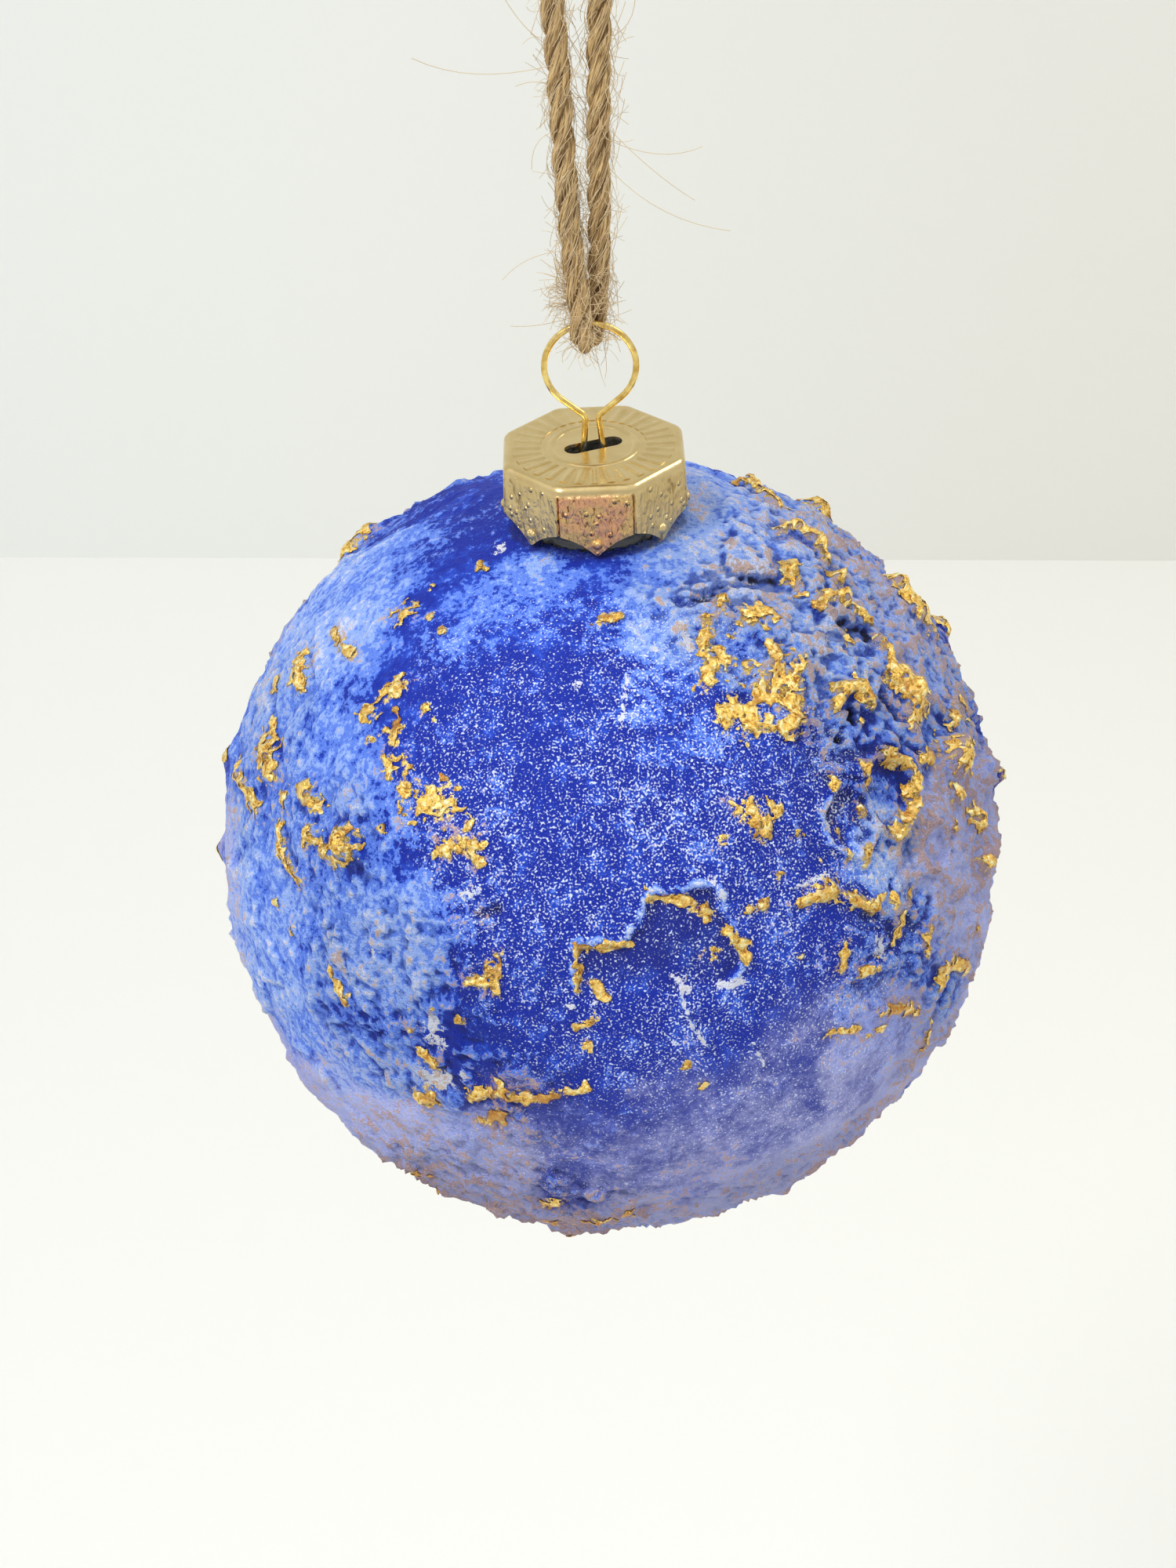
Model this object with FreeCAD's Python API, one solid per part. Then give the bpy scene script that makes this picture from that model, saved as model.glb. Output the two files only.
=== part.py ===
import FreeCAD, Part
import math
import os

# Hanging glass bauble with a painted paste coat, a stamped crown cap, a sprung wire hanger and a twine loop.
# Lengths are in millimetres. Heights are measured from the centre of the ball while a piece is made,
# and every piece is lowered at the end, so that the origin lies where a hook holds the twine loop.

# --- driving dimensions -------------------------------------------------------------------------

# blown glass ball
glass_radius = 40.0
glass_wall = 1.0
neck_radius = 7.0
neck_wall = 0.8
neck_root_round = 0.9
neck_lip_round = 0.35

# paste and paint coat on the glass
coat_thickness = 1.0
coat_collar_gap = 0.15
coat_collar_thickness = 0.4
coat_collar_reach = 10.6
coat_collar_slope = 2.5
coat_seat_gap = 0.02

# crown cap, stamped from thin sheet with eight petals
cap_panels = 8
cap_flats = 17.2
cap_flare = 0.3
cap_sheet = 0.3
cap_edge_round = 0.7
cap_corner_round = 1.6
cap_band = 0.9
petal_side = 5.0
petal_point = 2.2
petal_hollow = 0.35
petal_tip_round = 0.35
slit_top = 0.25
slit_bottom = 0.45
petal_tip_gap = 0.3
neck_top_gap = 0.3
petal_bead_radius = 0.6
petal_bead_rise = 0.35
petal_bead_lift = 1.3
top_bead_circle = 4.1
top_bead_radius = 0.7
top_bead_rise = 0.14
flute_count = 32
flute_inner = 5.1
flute_outer = 7.8
flute_radius = 1.2
flute_rise = 0.09
slot_length = 5.8
slot_width = 1.9
slot_turn = 20.0

# sprung wire hanger
wire_diameter = 0.6
ring_radius = 4.3
ring_stand = 8.2
ring_mouth_angle = 40.0
shoulder_half_gap = 0.6
shoulder_round = 0.8
leg_half_gap = 0.9
leg_neck_gap = 0.3
leg_reach = 11.5
leg_drop = 12.5
leg_round = 4.0

# twine loop
twine_diameter = 2.2
twine_ring_gap = 0.2
hang_height = 100.0
knot_rise = 4.5
knot_height = 7.0
knot_width = 7.6
knot_depth = 5.6
tail_length = 9.0
tail_spread = 2.0

# gold leaf
leaf_thickness = 0.08
leaf_lift = 0.03

# --- places worked out from them ------------------------------------------------------------------

coat_radius = glass_radius + coat_thickness
bore_radius = neck_radius - neck_wall
glass_inner_radius = glass_radius - glass_wall
cap_apothem = cap_flats / 2
skirt_depth = petal_side + petal_point
tip_apothem = cap_apothem + cap_flare
collar_radius = glass_radius + coat_collar_thickness
tip_height = math.sqrt(collar_radius ** 2 - tip_apothem ** 2) + petal_tip_gap
cap_top = tip_height + skirt_depth
neck_top = cap_top - cap_sheet - neck_top_gap
wire_radius = wire_diameter / 2
ring_centre = cap_top + ring_stand
ring_top = ring_centre + ring_radius
rim_height = math.sqrt(glass_inner_radius ** 2 - bore_radius ** 2)
leg_rim_reach = bore_radius - wire_radius - leg_neck_gap
fold_radius = wire_radius + twine_ring_gap + twine_diameter / 2
knot_base = hang_height + knot_rise

# Lumps of paste: longitude and latitude in degrees (0, 0 faces -Y, and east is +X), the lump's radius,
# how far it stands out of the coat, and the radius of the leaf on its peak (0 where it has none).
LUMPS = [
    (109, 24, 5.5, 1.8, 1.6), (94, 6, 5.0, 1.5, 1.4), (88, -10, 5.5, 1.2, 0), (68, 38, 5.0, 1.2, 1.9),
    (70, 48, 4.5, 1.1, 1.5), (68, 27, 5.0, 1.1, 1.5), (72, 8, 5.5, 1.1, 1.3), (80, 17, 4.5, 1.3, 1.2),
    (55, 45, 4.5, 1.4, 1.4), (48, 61, 4.5, 0.9, 1.5), (92, 44, 6.0, 1.2, 1.3), (46, 15, 4.5, 0.9, 1.5),
    (26, 25, 4.0, 0.7, 1.0), (38, 0, 5.5, 0.8, 1.3), (-62, 60, 5.0, 0.8, 1.4), (-80, 40, 5.0, 1.0, 1.5),
    (-44, 29, 4.5, 1.0, 1.3), (-58, 17, 5.0, 0.8, 1.2), (-74, 26, 5.5, 1.0, 1.4), (-91, 0, 5.0, 1.2, 1.1),
    (-90, 18, 5.0, 1.1, 1.3), (-17, 19, 4.0, 0.6, 1.2), (-27, -3, 4.5, 0.7, 1.3), (-13, -52, 6.0, 1.2, 1.4),
    (-42, -45, 6.0, 1.1, 1.3), (6, -56, 5.0, 1.0, 0), (32, -42, 6.0, 0.9, 0), (62, -30, 6.0, 0.9, 1.3),
    (130, 42, 5.5, 1.1, 1.6), (148, 2, 6.0, 1.3, 1.6), (172, -30, 6.0, 1.1, 1.4), (-160, 22, 6.0, 1.2, 1.7),
    (-138, -20, 5.5, 1.3, 1.5), (-122, 47, 5.5, 0.9, 1.4), (168, 58, 5.4, 0.9, 0), (-108, -42, 6.0, 1.0, 1.3),
    (122, -24, 5.5, 1.2, 1.5), (140, -56, 6.0, 1.0, 0),
]

# A raised ring of paste round a burst bubble: its place, its radius, and the thickness of its rim.
RING_RIDGES = [(43, 31, 3.6, 0.9), (56, 20, 2.4, 0.7)]

# Raised plates: place, mean radius, how far it stands out, and how its outline waves (count, depth, turn).
PLATES = [
    (8, 11, 9.5, 0.7, 5, 0.16, 20), (64, -8, 8.0, 0.5, 4, 0.18, 65), (84, 62, 7.5, 0.5, 5, 0.18, 10),
    (-66, 4, 7.5, 0.5, 5, 0.2, 10), (-50, -22, 8.5, 0.5, 4, 0.15, 40), (-12, -28, 8.0, 0.5, 5, 0.15, 0),
    (112, -2, 8.0, 0.6, 4, 0.2, 30), (150, 26, 9.5, 0.6, 5, 0.18, 15), (-168, -8, 10.0, 0.5, 4, 0.2, 80),
    (-118, 14, 9.0, 0.6, 5, 0.18, 50), (-78, -36, 7.0, 0.5, 5, 0.15, 0), (96, -44, 8.5, 0.5, 5, 0.15, 0),
    (0, -82, 9.0, 0.5, 5, 0.15, 30),
]

# Gold leaf on plain stretches of the coat: place, mean radius, and how each outline is torn
# (corners, depth, turn).
FLAKES = [
    (37, 49, 2.6, 4, 0.3, 20), (28, 58, 2.0, 5, 0.25, 50),
    (26, 49, 1.6, 4, 0.3, 0), (25, 37, 1.8, 5, 0.25, 0),
    (-31, 38, 2.3, 4, 0.25, 0), (-38, 43, 1.3, 4, 0.3, 30),
    (-45, 46, 1.2, 4, 0.3, 10), (-51, 50, 1.4, 5, 0.25, 0),
    (-24, 34, 1.7, 4, 0.3, 40), (-14, 62, 1.0, 4, 0.3, 0),
    (2, 69, 1.2, 4, 0.3, 60), (-58, 36, 1.5, 4, 0.3, 0),
    (112, 44, 1.8, 5, 0.25, 0), (-140, 44, 1.8, 5, 0.25, 0),
    (-150, -44, 2.0, 4, 0.25, 0), (150, -36, 1.8, 4, 0.3, 0),
]


def outward(lon, lat):
    """Unit vector from the ball's centre to a place on it."""
    a = math.radians(lon)
    b = math.radians(lat)
    return FreeCAD.Vector(math.cos(b) * math.sin(a), -math.cos(b) * math.cos(a), math.sin(b))


def turned_to(shape, lon, lat):
    """Turns a shape made round +Z so that its axis points at a place on the ball."""
    turn = FreeCAD.Rotation(FreeCAD.Vector(0, 0, 1), outward(lon, lat))
    moved = shape.copy()
    moved.Placement = FreeCAD.Placement(FreeCAD.Vector(0, 0, 0), turn)
    return moved


def wavy_face(radius, waves, depth, turn, height):
    """A flat face at z = height, whose smooth outline has a few uneven lobes."""
    points = []
    steps = 3 * waves
    for i in range(steps):
        a = 2 * math.pi * i / steps
        wave = math.cos(waves * a) + 0.5 * math.sin((waves - 1) * a + math.radians(turn))
        r = radius * (1 + depth * wave)
        b = a + math.radians(turn)
        points.append(FreeCAD.Vector(r * math.cos(b), r * math.sin(b), height))
    outline = Part.BSplineCurve()
    outline.interpolate(points, PeriodicFlag=True)
    return Part.Face(Part.Wire(outline.toShape()))


def curved_plate(lon, lat, radius, waves, depth, turn, inner, outer):
    """A plate of even thickness that follows the ball, with a wavy outline."""
    prism = wavy_face(radius, waves, depth, turn, coat_radius / 2).extrude(FreeCAD.Vector(0, 0, coat_radius))
    shell = Part.makeSphere(outer).cut(Part.makeSphere(inner))
    return turned_to(prism.common(shell), lon, lat)


def rounded_path(points, radii):
    """A wire of straight runs joined by tangent arcs; radii has one value for each inner point."""
    edges = []
    start = points[0]
    for i in range(1, len(points) - 1):
        corner = points[i]
        back = (points[i - 1] - corner).normalize()
        ahead = (points[i + 1] - corner).normalize()
        half = back.getAngle(ahead) / 2
        setback = radii[i - 1] / math.tan(half)
        first = corner + back * setback
        last = corner + ahead * setback
        middle = corner + (back + ahead).normalize() * (radii[i - 1] / math.sin(half) - radii[i - 1])
        edges.append(Part.LineSegment(start, first).toShape())
        edges.append(Part.Arc(first, middle, last).toShape())
        start = last
    edges.append(Part.LineSegment(start, points[-1]).toShape())
    return Part.Wire(edges)


def tube(path, radius):
    """A round solid along a wire."""
    start = path.OrderedVertexes[0].Point
    along = path.OrderedEdges[0].tangentAt(path.OrderedEdges[0].FirstParameter)
    ring = Part.Wire(Part.makeCircle(radius, start, along))
    return path.makePipeShell([ring], True, True)


def edges_at(shape, height):
    """The edges that lie level at one height."""
    level = []
    for edge in shape.Edges:
        box = edge.BoundBox
        if abs(box.ZMin - height) < 0.001 and abs(box.ZMax - height) < 0.001:
            level.append(edge)
    return level


def glass_ball():
    """Blown ball: an even glass wall, drawn up into a short open neck."""
    r = glass_radius
    rim = math.sqrt(r ** 2 - neck_radius ** 2)
    inner = glass_inner_radius
    outer_arc = Part.Arc(FreeCAD.Vector(0, 0, -r), FreeCAD.Vector(r, 0, 0),
                         FreeCAD.Vector(neck_radius, 0, rim))
    inner_arc = Part.Arc(FreeCAD.Vector(bore_radius, 0, rim_height), FreeCAD.Vector(inner, 0, 0),
                         FreeCAD.Vector(0, 0, -inner))
    section = Part.Wire([
        outer_arc.toShape(),
        Part.makeLine(FreeCAD.Vector(neck_radius, 0, rim), FreeCAD.Vector(neck_radius, 0, neck_top)),
        Part.makeLine(FreeCAD.Vector(neck_radius, 0, neck_top), FreeCAD.Vector(bore_radius, 0, neck_top)),
        Part.makeLine(FreeCAD.Vector(bore_radius, 0, neck_top), FreeCAD.Vector(bore_radius, 0, rim_height)),
        inner_arc.toShape(),
        Part.makeLine(FreeCAD.Vector(0, 0, -inner), FreeCAD.Vector(0, 0, -r)),
    ])
    ball = Part.Face(section).revolve(FreeCAD.Vector(0, 0, 0), FreeCAD.Vector(0, 0, 1), 360)
    ball = ball.makeFillet(neck_lip_round, edges_at(ball, neck_top))
    root = [e for e in edges_at(ball, rim) if e.BoundBox.XLength > 2 * bore_radius + neck_wall]
    return ball.makeFillet(neck_root_round, root)


def texture_coat():
    """Coat of paste and paint: a thin shell, open round the neck, with lumps, ridges and plates in relief."""
    bare = Part.makeSphere(glass_radius + coat_seat_gap)
    collar = Part.makeCylinder(neck_radius + neck_root_round + coat_collar_gap, neck_top)
    relief = [Part.makeSphere(coat_radius)]
    for lon, lat, radius, rise, gilt in LUMPS:
        lump = Part.makeSphere(radius)
        lump.translate(outward(lon, lat) * (coat_radius + rise - radius))
        relief.append(lump)
    for lon, lat, radius, rim in RING_RIDGES:
        ridge = Part.makeTorus(radius, rim, FreeCAD.Vector(0, 0, math.sqrt(coat_radius ** 2 - radius ** 2)))
        relief.append(turned_to(ridge, lon, lat))
    for lon, lat, radius, rise, waves, depth, turn in PLATES:
        relief.append(curved_plate(lon, lat, radius, waves, depth, turn, glass_inner_radius, coat_radius + rise))
    whole = relief[0].multiFuse(relief[1:])
    foot = math.sqrt(collar_radius ** 2 - coat_collar_reach ** 2)
    seat_height = neck_top - foot
    seat = Part.makeCone(coat_collar_reach, coat_collar_reach + coat_collar_slope * seat_height, seat_height,
                         FreeCAD.Vector(0, 0, foot))
    seat = seat.cut(Part.makeSphere(collar_radius))
    return whole.cut([bare, collar, seat])


def torn_face(radius, corners, depth, turn, height):
    """A flat face at z = height, with the straight uneven edges of torn leaf."""
    points = []
    for i in range(2 * corners):
        a = math.pi * i / corners + math.radians(turn)
        r = radius * (1 + depth * math.cos(math.pi * i) + 0.5 * depth * math.sin(3 * a + math.radians(turn)))
        points.append(FreeCAD.Vector(r * math.cos(a), r * math.sin(a), height))
    return Part.Face(Part.makePolygon(points + points[:1]))


def peak_leaf(lon, lat, radius, rise, gilt):
    """Leaf pressed over the peak of one lump, as a thin cap with an uneven outline."""
    middle = FreeCAD.Vector(0, 0, coat_radius + rise - radius)
    inner = Part.makeSphere(radius + leaf_lift, middle)
    outer = Part.makeSphere(radius + leaf_lift + leaf_thickness, middle)
    prism = torn_face(gilt, 4, 0.2, lon, middle.z).extrude(FreeCAD.Vector(0, 0, 2 * radius))
    return turned_to(prism.common(outer.cut(inner)), lon, lat)


def gold_leaf():
    """Flakes of metal leaf, each a thin skin on the coat or on the peak of a lump."""
    inner = coat_radius + leaf_lift
    outer = inner + leaf_thickness
    skin = Part.makeSphere(outer).cut(Part.makeSphere(inner))
    flakes = []
    for lon, lat, radius, corners, depth, turn in FLAKES:
        face = torn_face(radius, corners, depth, turn, coat_radius / 2)
        prism = face.extrude(FreeCAD.Vector(0, 0, coat_radius))
        flakes.append(turned_to(prism.common(skin), lon, lat))
    flakes += [peak_leaf(*lump) for lump in LUMPS if lump[4] > 0]
    return Part.makeCompound(flakes)


def octagon(apothem, height):
    """Outline of the cap at one height, with a flat facing -Y."""
    reach = apothem / math.cos(math.pi / cap_panels)
    points = []
    for i in range(cap_panels + 1):
        a = 2 * math.pi * (i + 0.5) / cap_panels
        points.append(FreeCAD.Vector(reach * math.sin(a), -reach * math.cos(a), height))
    return Part.makePolygon(points)


def crown_blank(inset, edge_round):
    """Closed solid of the cap's outer form, or of its inside when inset by the sheet."""
    low = cap_top - skirt_depth - 1.0
    slope = cap_flare / skirt_depth
    upper = octagon(cap_apothem - inset, cap_top - inset)
    lower = octagon(cap_apothem - inset + slope * (cap_top - inset - low), low)
    blank = Part.makeLoft([upper, lower], True, True)
    upright = [e for e in blank.Edges if e.BoundBox.ZLength > skirt_depth]
    blank = blank.makeFillet(cap_corner_round - inset, upright)
    rim = [e for e in blank.Edges if e.BoundBox.ZMin > cap_top - inset - 0.001]
    return blank.makeFillet(edge_round, rim)


def petal_prism():
    """What stays of the panel that faces -Y: straight sides, then hollow flanks that meet in a tip."""
    side = math.tan(math.pi / cap_panels)
    slope = cap_flare / skirt_depth
    top_half = side * (cap_apothem + slope * cap_band) - slit_top / 2
    low_half = side * (cap_apothem + slope * petal_side) - slit_bottom / 2
    high = cap_top - cap_band / 2
    shoulder = cap_top - petal_side
    tip = cap_top - skirt_depth
    middle = (shoulder + tip) / 2 + petal_hollow
    left = FreeCAD.Vector(-low_half, 0, shoulder)
    right = FreeCAD.Vector(low_half, 0, shoulder)
    point = FreeCAD.Vector(0, 0, tip)
    outline = Part.Wire([
        Part.makeLine(FreeCAD.Vector(-top_half, 0, high), left),
        Part.Arc(left, FreeCAD.Vector(-low_half / 2, 0, middle), point).toShape(),
        Part.Arc(point, FreeCAD.Vector(low_half / 2, 0, middle), right).toShape(),
        Part.makeLine(right, FreeCAD.Vector(top_half, 0, high)),
        Part.makeLine(FreeCAD.Vector(top_half, 0, high), FreeCAD.Vector(-top_half, 0, high)),
    ])
    face = Part.Face(outline)
    prism = face.extrude(FreeCAD.Vector(0, -2 * cap_apothem, 0))
    ridge = [e for e in prism.Edges if abs(e.CenterOfMass.x) < 0.001 and abs(e.CenterOfMass.z - tip) < 0.001]
    return prism.makeFillet(petal_tip_round, ridge)


def around_cap(shape, count):
    """Copies of a shape turned evenly about the cap's axis."""
    copies = []
    for i in range(count):
        copy = shape.copy()
        copy.rotate(FreeCAD.Vector(0, 0, 0), FreeCAD.Vector(0, 0, 1), 360 * i / count)
        copies.append(copy)
    return copies


def ornament_cap():
    """Stamped crown cap: octagonal top with rays and a slot, and eight pointed petals with a bead each."""
    shell = crown_blank(0, cap_edge_round).cut(crown_blank(cap_sheet, cap_edge_round - cap_sheet))
    band = Part.makeCylinder(2 * cap_apothem, cap_band + 1, FreeCAD.Vector(0, 0, cap_top - cap_band))
    keep = band.multiFuse(around_cap(petal_prism(), cap_panels))
    cap = shell.common(keep)

    slope = cap_flare / skirt_depth
    bead_height = cap_top - skirt_depth + petal_bead_lift
    bead_place = cap_apothem + slope * (cap_top - bead_height) + petal_bead_rise - petal_bead_radius
    bead = Part.makeSphere(petal_bead_radius, FreeCAD.Vector(0, -bead_place, bead_height))
    behind = Part.makeBox(cap_flats, cap_flats, cap_flats,
                          FreeCAD.Vector(-cap_flats / 2, -bead_place, bead_height - cap_flats / 2))
    added = around_cap(bead.cut(behind), cap_panels)

    flute = Part.makeCylinder(flute_radius, flute_outer - flute_inner,
                              FreeCAD.Vector(0, -flute_inner, cap_top + flute_rise - flute_radius),
                              FreeCAD.Vector(0, -1, 0))
    added += around_cap(flute, flute_count)
    added.append(Part.makeTorus(top_bead_circle, top_bead_radius,
                                FreeCAD.Vector(0, 0, cap_top + top_bead_rise - top_bead_radius)))
    cap = cap.multiFuse(added)

    inside = crown_blank(cap_sheet, cap_edge_round - cap_sheet)
    straight = slot_length - slot_width
    low = cap_top - skirt_depth
    slot = Part.makeBox(straight, slot_width, 2 * skirt_depth,
                        FreeCAD.Vector(-straight / 2, -slot_width / 2, low))
    for x in (-straight / 2, straight / 2):
        slot = slot.fuse(Part.makeCylinder(slot_width / 2, 2 * skirt_depth, FreeCAD.Vector(x, 0, low)))
    slot.rotate(FreeCAD.Vector(0, 0, 0), FreeCAD.Vector(0, 0, 1), slot_turn)
    return cap.cut(inside).cut(slot)


def hanger_wire():
    """Sprung hanger: a wire ring whose two legs pass the slot and spread inside the neck."""
    mouth = math.radians(ring_mouth_angle)
    top = FreeCAD.Vector(0, 0, ring_top)
    foot_x = ring_radius * math.sin(mouth)
    foot_z = ring_centre - ring_radius * math.cos(mouth)
    halves = []
    for side in (1, -1):
        foot = FreeCAD.Vector(side * foot_x, 0, foot_z)
        quarter = FreeCAD.Vector(side * ring_radius, 0, ring_centre)
        run = (foot_x - shoulder_half_gap) / math.cos(mouth)
        shoulder = FreeCAD.Vector(side * shoulder_half_gap, 0, foot_z - run * math.sin(mouth))
        legs = [
            foot, shoulder,
            FreeCAD.Vector(side * leg_half_gap, 0, cap_top - cap_sheet / 2),
            FreeCAD.Vector(side * leg_rim_reach, 0, rim_height),
            FreeCAD.Vector(side * leg_reach, 0, rim_height - leg_drop),
        ]
        arc = Part.Arc(top, FreeCAD.Vector(side * ring_radius * math.cos(mouth / 2), 0,
                                           ring_centre - ring_radius * math.sin(mouth / 2)), foot)
        lower = rounded_path(legs, [shoulder_round, leg_round, leg_round])
        halves.append(tube(Part.Wire([arc.toShape()] + lower.OrderedEdges), wire_radius))
    return halves[0].fuse(halves[1]).removeSplitter()


def twine_points():
    """The twine's route, chosen by hand: down in front, round the ring, and up behind."""
    low = ring_top - fold_radius
    top = knot_base
    left = [
        FreeCAD.Vector(-1.3, 0, top), FreeCAD.Vector(-1.35, 0, top - 4),
        FreeCAD.Vector(-2.5, 0, top - 9), FreeCAD.Vector(-1.8, -0.1, top - 18),
        FreeCAD.Vector(-1.6, 0, top - 29), FreeCAD.Vector(-1.25, -0.4, low + 8.5),
        FreeCAD.Vector(-0.75, -1.3, low + 3.8), FreeCAD.Vector(-0.7, -1.15 * fold_radius, low),
    ]
    right = [
        FreeCAD.Vector(0.7, 1.15 * fold_radius, low), FreeCAD.Vector(0.8, 1.3, low + 3.8),
        FreeCAD.Vector(1.3, 0.35, low + 8.2), FreeCAD.Vector(1.5, 0, top - 28),
        FreeCAD.Vector(1.9, 0.1, top - 18), FreeCAD.Vector(2.5, 0, top - 9),
        FreeCAD.Vector(1.35, 0, top - 4), FreeCAD.Vector(1.3, 0, top),
    ]
    return left + right


def bend_radii(points):
    """The largest arc that each point's two runs allow."""
    radii = []
    for i in range(1, len(points) - 1):
        back = points[i - 1] - points[i]
        ahead = points[i + 1] - points[i]
        half_turn = (math.pi - back.getAngle(ahead)) / 2
        radii.append(0.45 * min(back.Length, ahead.Length) / math.tan(half_turn))
    return radii


def twine():
    """The twine as a plain round cord, from the knot round the ring and back."""
    points = twine_points()
    radii = bend_radii(points)
    print("twine bend radii", [round(r, 1) for r in radii])
    path = rounded_path(points, radii)
    cord = tube(path, twine_diameter / 2)
    print("twine length", round(path.Length, 1), "volume ratio",
          round(cord.Volume / (path.Length * math.pi * (twine_diameter / 2) ** 2), 4))
    return cord


def twine_knot():
    """Overhand knot that closes the loop, as one closed form with its two short tails."""
    ball = Part.makeSphere(1)
    stretch = FreeCAD.Matrix()
    stretch.scale(knot_width / 2, knot_depth / 2, knot_height / 2)
    knot = ball.transformGeometry(stretch)
    sink = 0.12 * knot_height
    knot.translate(FreeCAD.Vector(0, 0, knot_base + knot_height / 2 - sink))
    below = Part.makeBox(2 * knot_width, 2 * knot_width, knot_height,
                         FreeCAD.Vector(-knot_width, -knot_width, knot_base - knot_height))
    knot = knot.cut(below)
    for side in (1, -1):
        start = FreeCAD.Vector(side * 0.9, 0, knot_base + knot_height / 2)
        end = start + FreeCAD.Vector(side * tail_spread, side * 0.6, tail_length)
        tail = Part.makeCylinder(twine_diameter / 2, (end - start).Length, start, end - start)
        knot = knot.fuse(tail)
    return knot


def export(name, shape):
    """Lowers a piece into the hook's frame, reports it and writes it."""
    shape.translate(FreeCAD.Vector(0, 0, -hang_height))
    shape.exportStep("parts/" + name + ".step")
    box = shape.optimalBoundingBox()
    print(name, "solids", len(shape.Solids), "valid", shape.isValid(), "volume", round(shape.Volume, 2),
          "z", round(box.ZMin, 2), round(box.ZMax, 2), "x", round(box.XMin, 2), round(box.XMax, 2))


os.makedirs("parts", exist_ok=True)
export("glass_ball", glass_ball())
export("texture_coat", texture_coat())
export("gold_leaf", gold_leaf())
export("ornament_cap", ornament_cap())
export("hanger_wire", hanger_wire())
export("twine", twine())
export("twine_knot", twine_knot())
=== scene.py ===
# %% [markdown]
# # A hanging glass bauble with a crusted, painted and gilded coat
# The rigid pieces come as a fixed frame in metres. This lesson dresses them: it lays a rough painted
# coat over the glass, presses gold leaf on its peaks, plates the cap and the wire, and twists a hairy
# twine loop from three plies.

# %% Load the frame
import math
import random

import bmesh
import bpy
from mathutils import Matrix, Quaternion, Vector, kdtree, noise


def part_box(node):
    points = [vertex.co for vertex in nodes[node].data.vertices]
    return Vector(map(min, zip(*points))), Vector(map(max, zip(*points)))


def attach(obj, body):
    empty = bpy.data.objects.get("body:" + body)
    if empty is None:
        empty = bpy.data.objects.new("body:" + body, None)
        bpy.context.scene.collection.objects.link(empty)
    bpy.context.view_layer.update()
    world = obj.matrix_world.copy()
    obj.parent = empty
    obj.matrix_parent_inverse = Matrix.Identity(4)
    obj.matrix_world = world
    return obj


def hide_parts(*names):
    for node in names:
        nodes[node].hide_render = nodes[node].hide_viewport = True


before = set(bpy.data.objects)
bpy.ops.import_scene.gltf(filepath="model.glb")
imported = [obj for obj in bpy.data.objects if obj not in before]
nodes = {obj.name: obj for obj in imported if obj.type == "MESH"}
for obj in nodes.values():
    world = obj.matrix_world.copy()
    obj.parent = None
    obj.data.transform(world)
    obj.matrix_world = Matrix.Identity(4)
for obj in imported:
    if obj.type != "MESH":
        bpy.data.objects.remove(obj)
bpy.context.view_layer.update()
MM = 0.001

# %% [markdown]
# ## Where things are
# The ball is round, so its box gives its radius and its centre. Places on the ball are then told as on
# a globe: longitude 0 and latitude 0 face -Y, and east is +X.

# %% Ball centre and radius
ball_low, ball_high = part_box("glass_ball")
glass_radius = (ball_high[0] - ball_low[0]) / 2
ball_centre = Vector((0, 0, ball_low[2] + glass_radius))
cap_low, cap_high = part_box("ornament_cap")
wire_low, wire_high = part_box("hanger_wire")
knot_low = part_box("twine_knot")[0]
print("glass radius", round(glass_radius, 4), "centre height", round(ball_centre.z, 4))


def toward(lon, lat):
    """Unit vector from the ball's centre to a place on it."""
    a = math.radians(lon)
    b = math.radians(lat)
    return Vector((math.cos(b) * math.sin(a), -math.cos(b) * math.cos(a), math.sin(b)))


def smooth(low, high, value):
    """0 below low, 1 above high, and an even ease between them."""
    t = min(1.0, max(0.0, (value - low) / (high - low)))
    return t * t * (3 - 2 * t)


# %% [markdown]
# ## The camera
# It stands a quarter of a metre from the ball and looks down on it by about 37 degrees, a little off
# its centre and slightly rolled, so that the hanging line leans to the left.

# %% Camera
view_height = math.radians(36.8)
view_distance = 0.252
aim_up, aim_left, roll = math.radians(1.35), math.radians(0.46), math.radians(2.3)
camera_data = bpy.data.cameras.new("camera")
camera_data.lens = 54.1
camera_data.sensor_width = 36.0
camera_data.clip_start = 0.01
camera = bpy.data.objects.new("camera", camera_data)
bpy.context.scene.collection.objects.link(camera)
back = Vector((0, -math.cos(view_height), math.sin(view_height)))
turn = (-back).to_track_quat("-Z", "Y") @ Quaternion((1, 0, 0), aim_up)
turn = turn @ Quaternion((0, 1, 0), aim_left) @ Quaternion((0, 0, -1), roll)
camera.matrix_world = Matrix.Translation(ball_centre + back * view_distance) @ turn.to_matrix().to_4x4()
bpy.context.scene.camera = camera
bpy.context.scene.view_settings.view_transform = "Standard"
print("camera at", [round(v, 3) for v in camera.location])

# %% [markdown]
# ## Building nodes from expressions
# A material is a small network of nodes. Joining them one by one is long to write and hard to read, so a
# socket is wrapped in a class whose operators add Math nodes, and one method adds any other node.


# %% Colours
def linear(red, green, blue):
    """Colour from 0-255 display values."""
    def one(v):
        v /= 255
        return v / 12.92 if v <= 0.04045 else ((v + 0.055) / 1.055) ** 2.4
    return (one(red), one(green), one(blue), 1.0)


print("mid grey", [round(v, 3) for v in linear(128, 128, 128)])


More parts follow.
